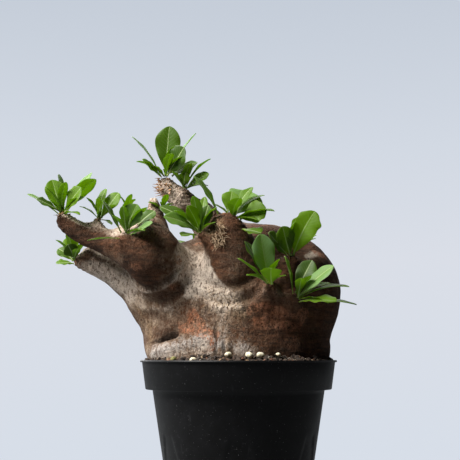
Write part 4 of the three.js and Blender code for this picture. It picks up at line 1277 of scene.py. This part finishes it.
def pellet_mesh(name, centre, along, length, width, rng):
    """A pressed pellet: an egg whose radius is width/2 * (1 - t*t)^0.42 at a share t from its
    middle to its end, with a dent in its side."""
    t = np.linspace(-1, 1, PELLET_RINGS)
    angle = np.linspace(0, 2 * math.pi, PELLET_SIDES, endpoint=False)
    T, ANG = np.meshgrid(t, angle, indexing="ij")
    radius = width / 2 * np.maximum(1 - T**2, 0.002) ** 0.42
    radius = radius * (1 - 0.08 * np.exp(-((T - 0.1) ** 2 * 9 + (ANG - 3.5) ** 2 * 2)))
    along = np.asarray(along) / np.linalg.norm(along)
    level = np.cross([0, 0, 1], along)
    level /= np.linalg.norm(level)
    up = np.cross(along, level)
    points = (
        np.asarray(centre)
        + T[..., None] * length / 2 * along
        + (radius * np.cos(ANG))[..., None] * level
        + (radius * np.sin(ANG))[..., None] * up
    ).reshape(-1, 3)
    points = points + 0.12 * lumps(points, 1.8, 41)[:, None] * rng.standard_normal(3)
    faces = lathe_rows(PELLET_SIDES, PELLET_RINGS).tolist()
    last = PELLET_SIDES * (PELLET_RINGS - 1)
    faces += [list(range(PELLET_SIDES))[::-1], [last + i for i in range(PELLET_SIDES)]]
    return mesh_of(name, points, faces)


pellet_rng = np.random.default_rng(9)
pellet_nodes = sorted(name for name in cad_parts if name.startswith("pellet_"))
for number, node in enumerate(pellet_nodes):
    corners = points_of(node)
    along = np.linalg.svd(corners - corners.mean(0), full_matrices=False)[2][0]
    middle = (corners.max(0) + corners.min(0)) / 2
    along = along + [0, 0, 0.35 * math.sin(5 * number)]
    width = PELLET_WIDTH - SLIMMER_BY * number
    middle = middle + [0, 0, PELLET_LIFT]
    mesh = pellet_mesh(node, middle, along, PELLET_LENGTH, width, pellet_rng)
    placed(node.replace("pellet_", "prill_"), mesh, cream.material, "pellet_cream", [node])

# Smaller pellets, some of them with green growth: (middle, direction, length, width, kind).
more_prills = [
    ((-37.5, -40.5, HEAP_TOP - 0.2), (0.7, 0.3, 0.1), 3.6, 2.9, "moss"),
    ((-26.0, -46.5, HEAP_TOP - 0.7), (1.0, 0.2, 0.0), 4.2, 2.8, "cream"),
    ((3.5, -50.0, HEAP_TOP - 1.3), (0.9, 0.3, 0.0), 3.4, 2.6, "moss"),
    ((9.0, -49.0, HEAP_TOP - 1.4), (0.5, -0.8, 0.1), 3.0, 2.4, "moss"),
    ((-10.0, 50.0, HEAP_TOP - 0.8), (0.6, 0.5, 0.1), 4.0, 3.1, "cream"),
    ((24.0, 45.5, HEAP_TOP - 0.7), (-0.6, 0.5, 0.1), 3.8, 3.0, "cream"),
    ((-52.0, 12.0, HEAP_TOP - 1.0), (0.1, 0.9, 0.1), 3.6, 2.9, "cream"),
]
mossy = Finish("mossy_pellet", 0.8)
fuzz = mossy.cloud(1.0, 4.0, 0.6)
colour = mossy.mixed(fuzz.within(0.35, 0.65), (0.10, 0.10, 0.02), (0.36, 0.32, 0.12))
mossy.paint(colour, None, fuzz, 0.3)
for number, (middle, along, length, width, kind) in enumerate(more_prills):
    mesh = pellet_mesh(f"more_{number}", middle, along, length, width, pellet_rng)
    placed(mesh.name, mesh, (mossy if kind == "moss" else cream).material, "pellet_cream")
